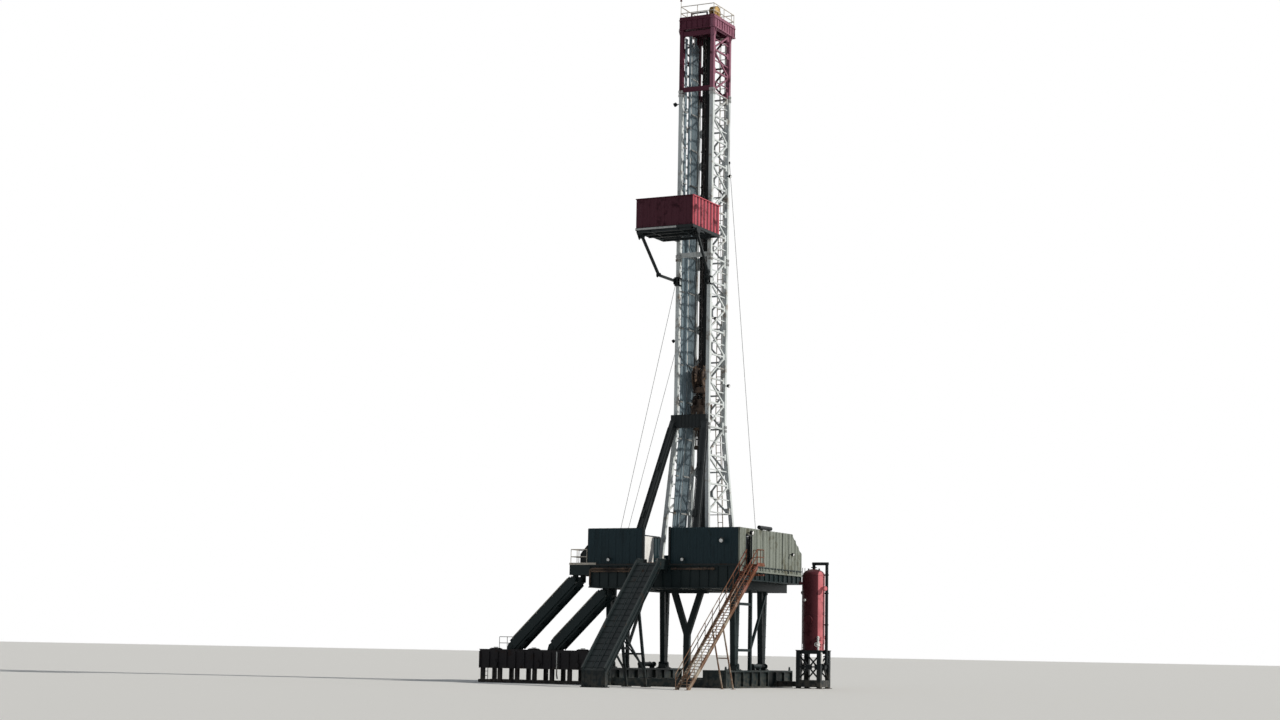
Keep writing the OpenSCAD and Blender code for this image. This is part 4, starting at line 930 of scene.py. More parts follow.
def addHoistDetails(s):
    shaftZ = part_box("travelling_block")[1].z - 0.46
    bm = bmesh.new()
    # Block: cap nuts, cheek ribs, cover straps over the sheaves
    for side in (-1, 1):
        x = side * 0.244
        addTurned(bm, (x, 0, shaftZ), (side, 0, 0),
            [(0, 0), (0.10, 0), (0.10, 0.012), (0.065, 0.016), (0.065, 0.034), (0, 0.036)], 20)
        addBolts(bm, (x + side * 0.010, 0, shaftZ), (side, 0, 0), 0.082, 8, s["bolt"])
        for y, z in ((-0.22, -0.10), (0.22, -0.10), (-0.16, 0.26), (0.16, 0.26), (0, -0.42)):
            addPin(bm, (x, y, shaftZ + z), side * 0.02, 0.026, 6)
        addPrism(bm, [(x, -0.02, shaftZ - 0.56), (x, 0.02, shaftZ - 0.56), (x, 0.02, shaftZ - 0.12),
            (x, -0.02, shaftZ - 0.12)], (side * 0.018, 0, 0))
    finishPiece("block_fittings", bm, "yellow", body="hoist")
    bm = bmesh.new()
    for y in (-0.36, 0.345):
        sign = 1 if y > 0 else -1
        for k in range(7):
            t0 = math.radians(-28 + k * 14)
            t1 = math.radians(-14 + k * 14)
            a = Vector((0, sign * 0.35 * math.cos(t0), shaftZ + 0.35 * math.sin(t0)))
            b = Vector((0, sign * 0.35 * math.cos(t1), shaftZ + 0.35 * math.sin(t1)))
            addBar(bm, a, b, 0.012, 0.42)
    addBox(bm, (-0.2, -0.10, shaftZ - 0.62), (0.2, 0.10, shaftZ - 0.40))
    finishPiece("block_cover", bm, "hoist", body="hoist")

    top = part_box("top_drive")[1].z
    bm = bmesh.new()
    # Motors: cooling fins, blowers, gearbox flanges and rows of bolts
    for x in (-0.23, 0.23):
        for k in range(9):
            z = top - 0.49 + 0.030 * k
            addTurned(bm, (x, 0, z), (0, 0, 1), [(0.08, 0), (0.112, 0), (0.112, s["fin"]),
                (0.08, s["fin"])], 18)
        addTurned(bm, (x, 0, top - 0.195), (0, 0, 1),
            [(0, 0), (0.075, 0), (0.085, 0.03), (0.05, 0.075), (0, 0.085)], 18)
        addBox(bm, (x - 0.04, -0.17, top - 0.42), (x + 0.04, -0.09, top - 0.28))
    for z in (top - 1.15, top - 0.55):
        addPrism(bm, [Vector((px, py, z)) for px, py in ((-0.345, -0.19), (-0.26, -0.275),
            (0.26, -0.275), (0.345, -0.19), (0.345, 0.19), (0.26, 0.275), (-0.26, 0.275),
            (-0.345, 0.19))], (0, 0, 0.03))
        for k in range(9):
            x = -0.24 + 0.06 * k
            addTube(bm, (x, -0.262, z - 0.012), (x, -0.262, z + 0.045), 0.010, 6)
    for x in (-0.17, 0.17):
        addBox(bm, (x - 0.06, -0.285, top - 1.02), (x + 0.06, -0.255, top - 0.72))
        for z in (-1.0, -0.74):
            for dx in (-0.045, 0.045):
                addTube(bm, (x + dx, -0.298, top + z), (x + dx, -0.28, top + z), 0.008, 6)
    # Bail pins
    for x in (-0.15, 0.15):
        for z in (-0.50, -0.07):
            addPin(bm, (x, 0, top + z), 0.045, 0.032, 14)
    # Elevator, links and their eyes
    for x in (-0.17, 0.17):
        for z in (-1.42, -2.12):
            addRing(bm, (x - 0.03, 0, top + z), (1, 0, 0), 0.022, 0.06, 0.06, 16)
    addTurned(bm, (0, 0, top - 2.24), (0, 0, 1),
        [(0.075, 0), (0.12, 0), (0.14, 0.05), (0.12, 0.14), (0.075, 0.14), (0.075, 0)], 18)
    addTurned(bm, (0, 0, top - 2.08), (0, 0, 1),
        [(0, 0), (0.055, 0), (0.065, 0.03), (0.065, 0.22), (0.05, 0.25), (0.05, 0.4), (0, 0.4)], 16)
    finishPiece("top_drive_fittings", bm, "hoist", body="hoist")
    bm = bmesh.new()
    # Hydraulic hoses looped over the housing, and a swivel elbow
    for side in (-1, 1):
        points = [(side * 0.30, -0.20, top - 0.62), (side * 0.33, -0.26, top - 0.52),
            (side * 0.28, -0.24, top - 0.40), (side * 0.18, -0.16, top - 0.36)]
        addPath(bm, points, s["hose"] * 0.6, 8)
        points = [(side * 0.24, -0.27, top - 1.12), (side * 0.26, -0.22, top - 1.30),
            (side * 0.16, -0.17, top - 1.42)]
        addPath(bm, points, s["hose"] * 0.6, 8)
    addPath(bm, [(0, -0.06, top - 0.27), (0, -0.06, top - 0.17), (0, 0.05, top - 0.11),
        (0, 0.22, top - 0.16), (0, 0.27, top - 0.36)], 0.040, 12)
    finishPiece("top_drive_hoses", bm, "rubber", body="hoist")
    # Dolly: rollers against the guide rail
    bm = bmesh.new()
    for side in (-1, 1):
        for z in (top - 1.02, top - 0.46):
            addTurned(bm, (side * 0.196, 0.40, z), (0, 0, 1),
                [(0, -0.045), (0.05, -0.045), (0.05, 0.045), (0, 0.045)], 16)
            addBox(bm, (side * 0.196 - 0.065, 0.35, z - 0.062), (side * 0.196 + 0.065, 0.462, z - 0.050))
            addBox(bm, (side * 0.196 - 0.065, 0.35, z + 0.050), (side * 0.196 + 0.065, 0.462, z + 0.062))
        addBar(bm, (side * 0.22, 0.27, top - 1.08), (side * 0.22, 0.27, top - 0.40), 0.04, 0.16)
    finishPiece("dolly_rollers", bm, "iron", body="hoist")


addHoistDetails(hoistFit)
print("hoist details done")


# Drill floor: wall frames and caps, door frames, machinery and deck fittings
floorFit = {"post": 0.05, "seam": 0.62, "wall": 1.35, "cutY": 1.45, "cutRun": 0.975, "cutDrop": 0.75}


def addWallFrames(s):
    bm = bmesh.new()
    left, right, front, rear = -3.0, 3.3, -3.42, 2.36
    top = floorZ + s["wall"]
    runsOfWall = [((left, front), (-0.62, front)), ((0.47, front), (right - 0.06, front)),
        ((right - 0.05, front), (right - 0.05, -2.95)), ((right - 0.05, -2.40), (right - 0.05, 1.4)),
        ((-2.84, -1.4), (-2.84, rear))]
    for a, b in runsOfWall:
        a, b = Vector((*a, 0)), Vector((*b, 0))
        for z in (floorZ + 0.45, top - 0.05):
            addBar(bm, a + onZ(z), b + onZ(z), s["post"], s["post"] * 0.8)
        count = max(1, round((b - a).length / 0.75))
        for i in range(count + 1):
            p = a.lerp(b, i / count)
            addPad(bm, p.x, p.y, 0.022, 0.022, floorZ, top - 0.02)
    for x in (-0.625, 0.475):
        addBox(bm, (x - 0.035, -3.53, floorZ + 0.002), (x + 0.035, -3.42, top + 0.03))
    for y in (-2.93, -2.42):
        addBox(bm, (3.27, y - 0.02, floorZ + 0.002), (3.37, y + 0.02, floorZ + 1.10))
    addBox(bm, (3.27, -2.95, floorZ + 1.05), (3.37, -2.40, floorZ + 1.10))
    # Long dark lamp case on the right wall
    addTube(bm, (3.33, -1.72, top + 0.085), (3.33, -0.62, top + 0.085), 0.075, 14)
    for y in (-1.5, -0.85):
        addBox(bm, (3.27, y - 0.03, top - 0.02), (3.39, y + 0.03, top + 0.06))
    finishPiece("wall_frames", bm, "machine")
    bm = bmesh.new()
    # Battens over the right wall's seams, and its corner plates, in the windwall paint's painted-sunlight
    # copy
    for y in stepped(-3.2, 2.3, s["seam"]):
        high = top if y < s["cutY"] else top - s["cutDrop"] * (y - s["cutY"]) / s["cutRun"]
        if not -2.98 < y < -2.38:
            addBox(bm, (3.342, y - 0.014, floorZ - 0.25), (3.356, y + 0.014, high - 0.02))
    addBox(bm, (3.30, -3.512, floorZ - 0.25), (3.358, -3.495, top))
    addBox(bm, (3.342, -3.512, floorZ - 0.25), (3.360, -3.44, top))
    addBox(bm, (3.342, -3.5, floorZ - 0.26), (3.362, 2.42, floorZ - 0.20))
    finishPiece("right_wall_battens", bm, "litWall")


addWallFrames(floorFit)


machineFit = {
    "drumY": 1.77,
    "drumZ": floorZ + 0.56,
    "halfDrum": 0.60,
    "ropeR": 0.203,
    "ropePitch": 0.0265,
    "crest": 0.0132,
    "turns": 44,
}


def addFloorMachinery(s):
    bm = bmesh.new()
    drumY, drumZ = s["drumY"], s["drumZ"]
    # Rope wound on the drum
    profile = [(0.0, -s["halfDrum"])]
    for k in range(s["turns"]):
        x = -0.585 + s["ropePitch"] * k
        profile += [(s["ropeR"], x), (s["ropeR"] + 0.013, x + s["crest"])]
    profile += [(s["ropeR"], 0.585), (0.0, s["halfDrum"])]
    addTurned(bm, (0, drumY, drumZ), (1, 0, 0), profile, 24)
    finishPiece("drum_rope", bm, "rope")
    bm = bmesh.new()
    for x in (-s["halfDrum"], s["halfDrum"]):
        for k in range(20):
            t = 2 * math.pi * k / 20
            at = Vector((x, drumY + 0.30 * math.cos(t), drumZ + 0.30 * math.sin(t)))
            addBox(bm, at - Vector((0.035, 0.012, 0.012)), at + Vector((0.035, 0.012, 0.012)))
        for t in (math.radians(50), math.radians(130)):
            at = Vector((x, drumY + 0.33 * math.cos(t), drumZ + 0.33 * math.sin(t)))
            addBox(bm, at - Vector((0.06, 0.07, 0.06)), at + Vector((0.06, 0.07, 0.06)))
    for x in (-0.755, 0.755):
        side = 1 if x > 0 else -1
        addTurned(bm, (x, drumY, drumZ), (side, 0, 0),
            [(0, 0), (0.15, 0), (0.15, 0.02), (0.09, 0.05), (0, 0.05)], 20)
        addBolts(bm, (x + side * 0.015, drumY, drumZ), (side, 0, 0), 0.12, 8, 0.022)
    # Motor at the right end: louvres, lifting eyes, blower
    for k in range(9):
        z = floorZ + 0.22 + 0.075 * k
        addPrism(bm, [(0.98, 1.468, z), (0.98, 1.440, z - 0.012), (0.98, 1.468, z + 0.045)], (0.48, 0, 0))
        addPrism(bm, [(1.512, 1.52, z), (1.540, 1.52, z - 0.012), (1.512, 1.52, z + 0.045)], (0, 0.48, 0))
    for x, y in ((1.0, 1.55), (1.44, 1.55), (1.0, 1.98), (1.44, 1.98)):
        addRing(bm, (x - 0.012, y, floorZ + 1.03), (1, 0, 0), 0.018, 0.042, 0.024, 14)
    addTurned(bm, (1.22, 1.77, floorZ + 1.18), (0, 0, 1),
        [(0, 0), (0.17, 0), (0.17, 0.05), (0.13, 0.07), (0.13, 0.11), (0, 0.12)], 20)
    for y in (1.42, 2.12):
        addBox(bm, (-0.9, y - 0.03, floorZ + 0.12), (1.55, y + 0.03, floorZ + 0.15))
    finishPiece("drawworks_fittings", bm, "machine")
    bm = bmesh.new()
    # Rotary table: ring, slips seat and bolts
    addTurned(bm, (0, 0, floorZ + 0.058), (0, 0, 1),
        [(0.24, 0), (0.37, 0), (0.37, 0.010), (0.33, 0.016), (0.26, 0.012), (0.24, 0.002), (0.24, 0)], 36)
    addBolts(bm, (0, 0, floorZ + 0.066), (0, 0, 1), 0.35, 16, 0.014)
    for sx, sy in corners:
        addPad(bm, sx * 0.40, sy * 0.40, 0.03, 0.03, floorZ + 0.028, floorZ + 0.05)
    # V-door roller, setback strips and mouse hole
    addTube(bm, (-0.58, -3.40, floorZ + 0.03), (0.43, -3.40, floorZ + 0.03), 0.028, 14)
    addTurned(bm, (0.28, -0.98, floorZ), (0, 0, 1),
        [(0.075, 0), (0.13, 0), (0.13, 0.02), (0.10, 0.03), (0.10, 0.16), (0.075, 0.16), (0.075, 0)], 20)
    for x in (-2.05, -1.75, -1.45, 1.45, 1.75, 2.05):
        addBox(bm, (x - 0.045, -2.6, floorZ), (x + 0.045, -1.0, floorZ + 0.03))
    for k in range(2):
        # Anchor drum of the dead line
        addDisc(bm, (-1.375 + 0.11 * k, 1.45, floorZ + 0.30), (1, 0, 0), 0.13, 0.02, 20)
    finishPiece("deck_fittings", bm, "iron")
    bm = bmesh.new()
    # Tong lines post and driller's stand with its screen
    addBox(bm, (1.62, 0.15, floorZ), (1.68, 0.21, floorZ + 1.0))
    addBox(bm, (1.50, 0.02, floorZ + 0.55), (1.74, 0.36, floorZ + 0.62))
    addPrism(bm, [(1.50, 0.04, floorZ + 0.62), (1.50, 0.34, floorZ + 0.62), (1.56, 0.34, floorZ + 0.80),
        (1.56, 0.04, floorZ + 0.80)], (0.02, 0, 0))
    for k in range(4):
        addTube(bm, (1.55 + 0.04 * k, 0.10, floorZ + 0.62), (1.54 + 0.04 * k, 0.09, floorZ + 0.74),
            0.007, 6)
    finishPiece("drillers_stand", bm, "galvanised")


addFloorMachinery(machineFit)


# Base: beam stiffeners, leg pins, pipes along the front beam and pad eyes
baseFit = {
    "pin": 0.06,
    "legs": [(2.6, -2.225), (-2.6, -2.225), (2.11, 1.395), (-2.11, 1.395)],
    "pinZ": 0.81,
    "boxX": 2.4,
    "boxTop": 0.65,
    "cylinderZ": 0.80,
    "pipeY": -3.60,
}


def addBaseDetails(s):
    bm = bmesh.new()
    z0, z1 = 3.65, floorZ - 0.045
    # Flanges and stiffeners on the front beam
    for z in (z0 + 0.02, z1 - 0.02):
        addBox(bm, (-2.9, -3.555, z - 0.02), (3.3, -3.495, z + 0.02))
    for k in range(17):
        x = -2.85 + 6.1 * k / 16
        addBox(bm, (x - 0.010, -3.545, z0 + 0.03), (x + 0.010, -3.495, z1 - 0.03))
    # Same on the right edge beam, which is shallower
    for z in (3.99, z1 - 0.02):
        addBox(bm, (3.295, -3.38, z - 0.02), (3.355, 2.425, z + 0.02))
    for k in range(14):
        y = -3.3 + 5.7 * k / 13
        addBox(bm, (3.295, y - 0.010, 4.0), (3.345, y + 0.010, z1 - 0.03))
    # Legs: pins with cap plates, rings of bolts and web ribs
    for x, y in s["legs"]:
        addPin(bm, (x, y, s["pinZ"]), 0.2, s["pin"], 16)
        for side in (-1, 1):
            addTurned(bm, (x + side * 0.165, y, s["pinZ"]), (side, 0, 0),
                [(0, 0), (0.10, 0), (0.10, 0.018), (0, 0.022)], 18)
            for k in range(6):
                z = 1.1 + 0.42 * k
                half = 0.13 + (0.26 - 0.13) * (z - 0.77) / 2.88
                addBox(bm, (x + side * 0.1 - 0.006, y - half + 0.01, z),
                    (x + side * 0.1 + 0.012 * side + 0.006, y + half - 0.01, z + 0.02))
        addPad(bm, x, y, 0.22, 0.24, 0.652, 0.672)
        for dx in (-0.18, 0.18):
            for dy in (-0.20, 0.20):
                addTube(bm, (x + dx, y + dy, 0.66), (x + dx, y + dy, 0.70), 0.020, 6)
    # Pad eyes and end plates on the base boxes
    for side in (-1, 1):
        for y in (-3.38, -0.3, 2.55):
            x = side * (s["boxX"] + 0.40)
            addPrism(bm, [(x - 0.012, y - 0.09, s["boxTop"]), (x - 0.012, y + 0.09, s["boxTop"]),
                (x - 0.012, y + 0.05, 0.79), (x - 0.012, y - 0.05, 0.79)], (0.024, 0, 0))
            addRing(bm, (x - 0.02, y, 0.74), (1, 0, 0), 0.018, 0.038, 0.04, 14)
        for x in (side * s["boxX"] - 0.30, side * s["boxX"] + 0.30):
            addBox(bm, (x - 0.05, -3.53, 0.08), (x + 0.05, -3.49, 0.57))
        # Raising cylinders lying on the boxes
        x = side * s["boxX"]
        addTube(bm, (x, -0.1, s["cylinderZ"]), (x, 0.75, s["cylinderZ"]), 0.085, 16)
        addTube(bm, (x, 0.75, s["cylinderZ"]), (x, 1.10, s["cylinderZ"]), 0.045, 14)
        for y in (-0.12, 0.72, 1.08):
            addDisc(bm, (x, y, s["cylinderZ"]), (0, 1, 0), 0.10, 0.05, 16)
        for y in (-0.05, 0.95):
            addPad(bm, x, y, 0.09, 0.04, s["boxTop"], 0.75)
    # Forked post: end plates and gussets
    for side in (-1, 1):
        addPrism(bm, [(side * 0.14, -0.885, 2.0), (side * 0.14, -0.865, 2.0),
            (side * 0.42, -0.865, 2.85), (side * 0.42, -0.885, 2.85)], (-side * 0.10, 0, 0.02))
    addBox(bm, (-0.22, -0.99, 0.30), (0.22, -0.76, 0.33))
    for z in (0.9, 1.5):
        addBox(bm, (-0.13, -0.975, z), (0.13, -0.775, z + 0.03))
    finishPiece("base_fittings", bm, "base")
    bm = bmesh.new()
    # Dark red lines along the front beam
    for z, a, b in ((4.36, -2.75, -0.70), (4.27, -2.75, -1.15), (4.36, 0.62, 2.30)):
        addTube(bm, (a, s["pipeY"], z), (b, s["pipeY"], z), 0.035, 12)
        for x in stepped(a + 0.15, b, 0.6):
            addBox(bm, (x - 0.02, -3.61, z - 0.05), (x + 0.02, -3.54, z + 0.05))
        addTurned(bm, (b, -3.60, z), (1, 0, 0), [(0, 0), (0.06, 0), (0.06, 0.03), (0.035, 0.03),
            (0.035, 0.09), (0, 0.09)], 14)
    addPath(bm, [(-2.75, -3.60, 4.36), (-2.82, -3.60, 4.30), (-2.82, -3.60, 3.75)], 0.035, 10)
    finishPiece("front_pipes", bm, "hoist")
    bm = bmesh.new()
    # Pale toe plates of the wing
    addBox(bm, (-3.765, -3.525, floorZ - 0.035), (-2.62, -3.500, floorZ + 0.045))
    addBox(bm, (-3.775, -3.5, floorZ - 0.035), (-3.758, -1.5, floorZ + 0.045))
    finishPiece("wing_toe_plates", bm, "rail")


addBaseDetails(baseFit)
print("floor and base details done")


# Swing arms and tank: shoes, pins, a pale line over each arm, hatches and valves
armFit = {"runX": 2.70, "footZ": 1.38, "rise": 2.60, "tankTop": 1.25, "over": 0.235, "line": 0.020}


def addArmDetails(s):
    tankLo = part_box("water_tank")[0]
    footZ = s["footZ"]
    tops = [Vector((-3.64, 0, 3.98)), Vector((-2.35, 0, 3.49))]
    feet = [Vector((t.x - s["runX"] * (t.z - footZ) / s["rise"], 0, footZ)) for t in tops]
    dark, pale = bmesh.new(), bmesh.new()
    for foot, top in zip(feet, tops):
        along = (top - foot).normalized()
        up = Vector((-along.z, 0, along.x))
        for y in (-3.3, -2.7):
            lift = onY(y)
            # Shoe under the foot and pins at both ends
            addPrism(dark, [foot + lift + Vector((-0.20, -0.05, -0.13)),
                foot + lift + Vector((0.12, -0.05, -0.13)), foot + lift + Vector((0.10, -0.05, 0.02)),
                foot + lift + Vector((-0.13, -0.05, 0.12))], (0, 0.10, 0))
            for p in (foot, top):
                addTube(dark, p + lift + onY(-0.10), p + lift + onY(0.16), 0.055, 14)
                for dy in (-0.085, 0.13):
                    addDisc(dark, p + lift + onY(dy), (0, 1, 0), 0.09, 0.02, 16)
            # Flange strips and web ribs
            for side in (-1, 1):
                a = foot + lift + up * (side * 0.15) + along * 0.1
                b = top + lift + up * (side * 0.15) - along * 0.1
                addBar(dark, a, b, 0.012, 0.17)
            for k in range(7):
                c = (foot + lift).lerp(top + lift, 0.1 + 0.8 * k / 6)
                addBar(dark, c - up * 0.14, c + up * 0.14, 0.010, 0.155)
            # Pale line held over the upper edge
            if y < -3:
                a = foot + lift + up * s["over"] + along * 0.25
                b = top + lift + up * s["over"] - along * 0.2
                addTube(pale, a, b, s["line"], 8)
                for k in range(8):
                    c = a.lerp(b, k / 7)
                    addTube(pale, c, c - up * (s["over"] - 0.14), 0.012, 6)
    finishPiece("arm_fittings", dark, "base")
    finishPiece("arm_lines", pale, "rail")

    bm = bmesh.new()
    top = s["tankTop"]
    for x in (-7.25, -5.55, -3.4):
        addTurned(bm, (x, -2.95, top), (0, 0, 1),
            [(0, 0), (0.25, 0), (0.25, 0.05), (0.20, 0.05), (0.20, 0.075), (0, 0.085)], 24)
        addBolts(bm, (x, -2.95, top + 0.05), (0, 0, 1), 0.225, 12, 0.014)
        addPin(bm, (x, -2.95, top + 0.10), 0.10, 0.012, 8)
    for a, b in (((tankLo.x + 0.05, -3.47), (-2.95, -3.47)), ((tankLo.x + 0.05, -2.33), (-2.95, -2.33))):
        addBar(bm, (*a, top + 0.012), (*b, top + 0.012), 0.05, 0.03)
    # Outlets along the front with hand wheels
    for x in (-6.9, -5.0, -3.3):
        at = Vector((x, -3.50, 0.72))
        addTurned(bm, at, (0, -1, 0), [(0, 0), (0.10, 0), (0.10, 0.02), (0.055, 0.02), (0.055, 0.09),
            (0.09, 0.09), (0.09, 0.11), (0, 0.11)], 18)
        addBolts(bm, at + onY(-0.02), (0, -1, 0), 0.08, 8, 0.014)
        addTube(bm, at + onY(-0.055), at + Vector((0, -0.055, 0.17)), 0.014, 8)
        addRing(bm, at + Vector((0, -0.055, 0.165)), (0, 0, 1), 0.055, 0.07, 0.012, 16)
    finishPiece("tank_fittings", bm, "tank")
    bm = bmesh.new()
    # Rungs at the tank's left end, a pipe down the front and a railing
    for k in range(6):
        z = 0.25 + 0.17 * k
        addTube(bm, (tankLo.x + 0.045, -3.1, z), (tankLo.x + 0.045, -2.8, z), 0.012, 8)
    for y in (-3.1, -2.8):
        addTube(bm, (tankLo.x + 0.045, y, 0.10), (tankLo.x + 0.045, y, 1.25), 0.014, 8)
    addPath(bm, [(-4.2, -3.54, 1.22), (-4.2, -3.54, 0.35), (-4.2, -3.48, 0.2)], 0.028, 12)
    addRailing(bm, [(-7.45, -2.36, 1.26), (-6.75, -2.36, 1.26)], 0.5, r=0.013, gap=0.35)
    finishPiece("tank_rungs", bm, "galvanised")


addArmDetails(armFit)


# Ramp and stair: ribs, rollers, underframe, nosings, brackets and foot plates
rampFit = {"slope": 44, "x": -0.025, "half": 0.475, "endZ": 0.6, "topY": -4.275}


def addRampDetails(s):
    top = Vector((s["x"], s["topY"], floorZ))
    slope = math.radians(s["slope"])
    down = Vector((0, -math.cos(slope), -math.sin(slope)))
    normal = Vector((0, -math.sin(slope), math.cos(slope)))
    length = (floorZ - s["endZ"]) / math.sin(slope)
    bm = bmesh.new()
    across = onX(1)
    for k in range(19):
        c = top + down * (0.15 + (length - 0.3) * k / 18)
        addBar(bm, c - across * (s["half"] - 0.06), c + across * (s["half"] - 0.06), 0.022, 0.03)
    for side in (-1, 1):
        edge = across * (side * (s["half"] - 0.025))
        addTube(bm, top + edge + normal * 0.105, top + edge + normal * 0.105 + down * length, 0.028, 10)
        addTube(bm, (top + edge).x * across + Vector((0, -3.5, floorZ + 0.14)), top + edge + onZ(0.14),
            0.028, 10)
        for k in range(12):
            c = top + edge * 1.045 + down * (0.12 + (length - 0.24) * k / 11)
            addBar(bm, c - normal * 0.17, c + normal * 0.09, 0.016, 0.05)
        # Flanges of the side beams
        for n in (-0.015, -0.20):
            a = top + edge * 1.06 + normal * n
            addBar(bm, a, a + down * length, 0.055, 0.022)
    # Skate track along the middle
    for dx in (-0.09, 0.09):
        a = top + across * dx + normal * 0.014
        addBar(bm, a + down * 0.05, a + down * (length - 0.1), 0.022, 0.026)
    # Struts under the slope, down to the ground
    for side in (-1, 1):
        x = s["x"] + side * (s["half"] - 0.08)
        a = Vector((x, -5.72, floorZ - 1.75))
        addBar(bm, a, Vector((x, -5.05, 0.02)), 0.09, 0.09)
        addBox(bm, (x - 0.14, -5.19, 0.0), (x + 0.14, -4.91, 0.03))
        addBar(bm, Vector((x, -6.75, 1.84)), Vector((x, -5.20, 0.60)), 0.06, 0.06)
    addBar(bm, (s["x"] - 0.4, -5.3, 1.2), (s["x"] + 0.4, -5.3, 1.2), 0.07, 0.07)
    addBar(bm, (s["x"] - 0.4, -5.45, 1.75), (s["x"] + 0.4, -5.16, 0.65), 0.05, 0.05)
    # Lugs where the ramp hangs on the floor, and its foot pad
    for side in (-1, 1):
        x = s["x"] + side * 0.40
        addBox(bm, (x - 0.04, -3.60, floorZ - 0.34), (x + 0.04, -3.50, floorZ - 0.10))
        addPin(bm, (x, -3.56, floorZ - 0.27), 0.07, 0.030, 12)
    footY = s["topY"] - length * math.cos(slope)
    addBox(bm, (s["x"] - 0.52, footY - 0.03, 0), (s["x"] + 0.52, footY + 0.26, 0.03))
    for k in range(4):
        x = s["x"] - 0.36 + 0.24 * k
        addBox(bm, (x - 0.02, footY - 0.018, 0.04), (x + 0.02, footY, 0.56))
    for z in (0.10, 0.50):
        addBox(bm, (s["x"] - 0.475, footY - 0.022, z), (s["x"] + 0.475, footY, z + 0.04))
    finishPiece("ramp_fittings", bm, "ramp")


addRampDetails(rampFit)


stairFit = {"slope": 38, "steps": 45}


def addStairDetails(s):
    lo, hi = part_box("stair_stringers")
    x0, x1 = lo.x, hi.x
    run = floorZ / math.tan(math.radians(s["slope"]))
    topY = hi.y
    tan = math.tan(math.radians(s["slope"]))
    bm = bmesh.new()
    steps = s["steps"]
    for i in range(1, steps):
        y = topY - run + run * i / steps
        z = floorZ * i / steps
        going = run / steps
        addBox(bm, (x0 + 0.041, y - going * 0.5, z - 0.004),
            (x1 - 0.041, y - going * 0.5 + 0.012, z + 0.004))
        for x in (x0 + 0.046, x1 - 0.052):
            addBox(bm, (x, y - going * 0.4, z - 0.045), (x + 0.006, y + going * 0.4, z - 0.018))
    for x in (x0 - 0.006, x1 + 0.006):
        # Flange strips along the stringers
        for drop in (0.012, 0.150):
            a = Vector((x, topY - run + 0.03 + drop / tan, 0.03 * tan))
            b = Vector((x, topY - 0.01, floorZ - drop - 0.008))
            addBar(bm, a, b, 0.016, 0.022)
    for x in (x0 + 0.02, x1 - 0.02):
        for k in range(11):
            t = k / 10
            at = Vector((x, topY - run + run * t - 0.034 * t, floorZ * t * 0.994))
            addBox(bm, (at.x - 0.028, at.y - 0.03, max(at.z - 0.07, 0)), at + Vector((0.028, 0.03, 0.02)))
    for x in (x0 + 0.02, x1 - 0.02):
        addBox(bm, (x - 0.07, topY - run - 0.05, 0.0), (x + 0.07, topY - run + 0.16, 0.016))
        for dy in (-0.02, 0.13):
            addTube(bm, (x + 0.05, topY - run + dy, 0.0), (x + 0.05, topY - run + dy, 0.035), 0.012, 6)
    # Struts from the base to the stair's middle
    for x in (x0 + 0.02, x1 - 0.02):
        y = topY - run * 0.5
        addBar(bm, (x, y, floorZ * 0.5 - 0.14), (x, y + 0.9, 0.01), 0.045, 0.045)
        addBox(bm, (x - 0.07, y + 0.83, 0), (x + 0.07, y + 0.97, 0.014))
    addBar(bm, (x0 + 0.02, topY - run * 0.5 + 0.45, 1.1), (x1 - 0.02, topY - run * 0.5 + 0.45, 1.1),
        0.04, 0.04)
    finishPiece("stair_fittings", bm, "stair")
    bm = bmesh.new()
    dlo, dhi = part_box("stair_landing")
    for x in stepped(dlo.x + 0.02, dhi.x - 0.03, 0.035):
        addBox(bm, (x, dlo.y + 0.02, floorZ - 0.002), (x + 0.007, dlo.y + 0.63, floorZ + 0.010))
    addBox(bm, (dhi.x - 0.012, dlo.y + 0.02, floorZ), (dhi.x - 0.004, dlo.y + 0.63, floorZ + 0.06))
    addRailing(bm, [(dhi.x - 0.034, dlo.y + 0.62, floorZ), (dlo.x + 0.06, dlo.y + 0.62, floorZ)], 0.55,
        r=0.013, gap=0.3)
    finishPiece("landing_fittings", bm, "stair")


addStairDetails(stairFit)


# Gas separator: heads, bands, nozzles, manway, ladder, gauge and pale drain pipe
vesselFit = {"x": 4.3, "y": 1.35, "r": 0.425}


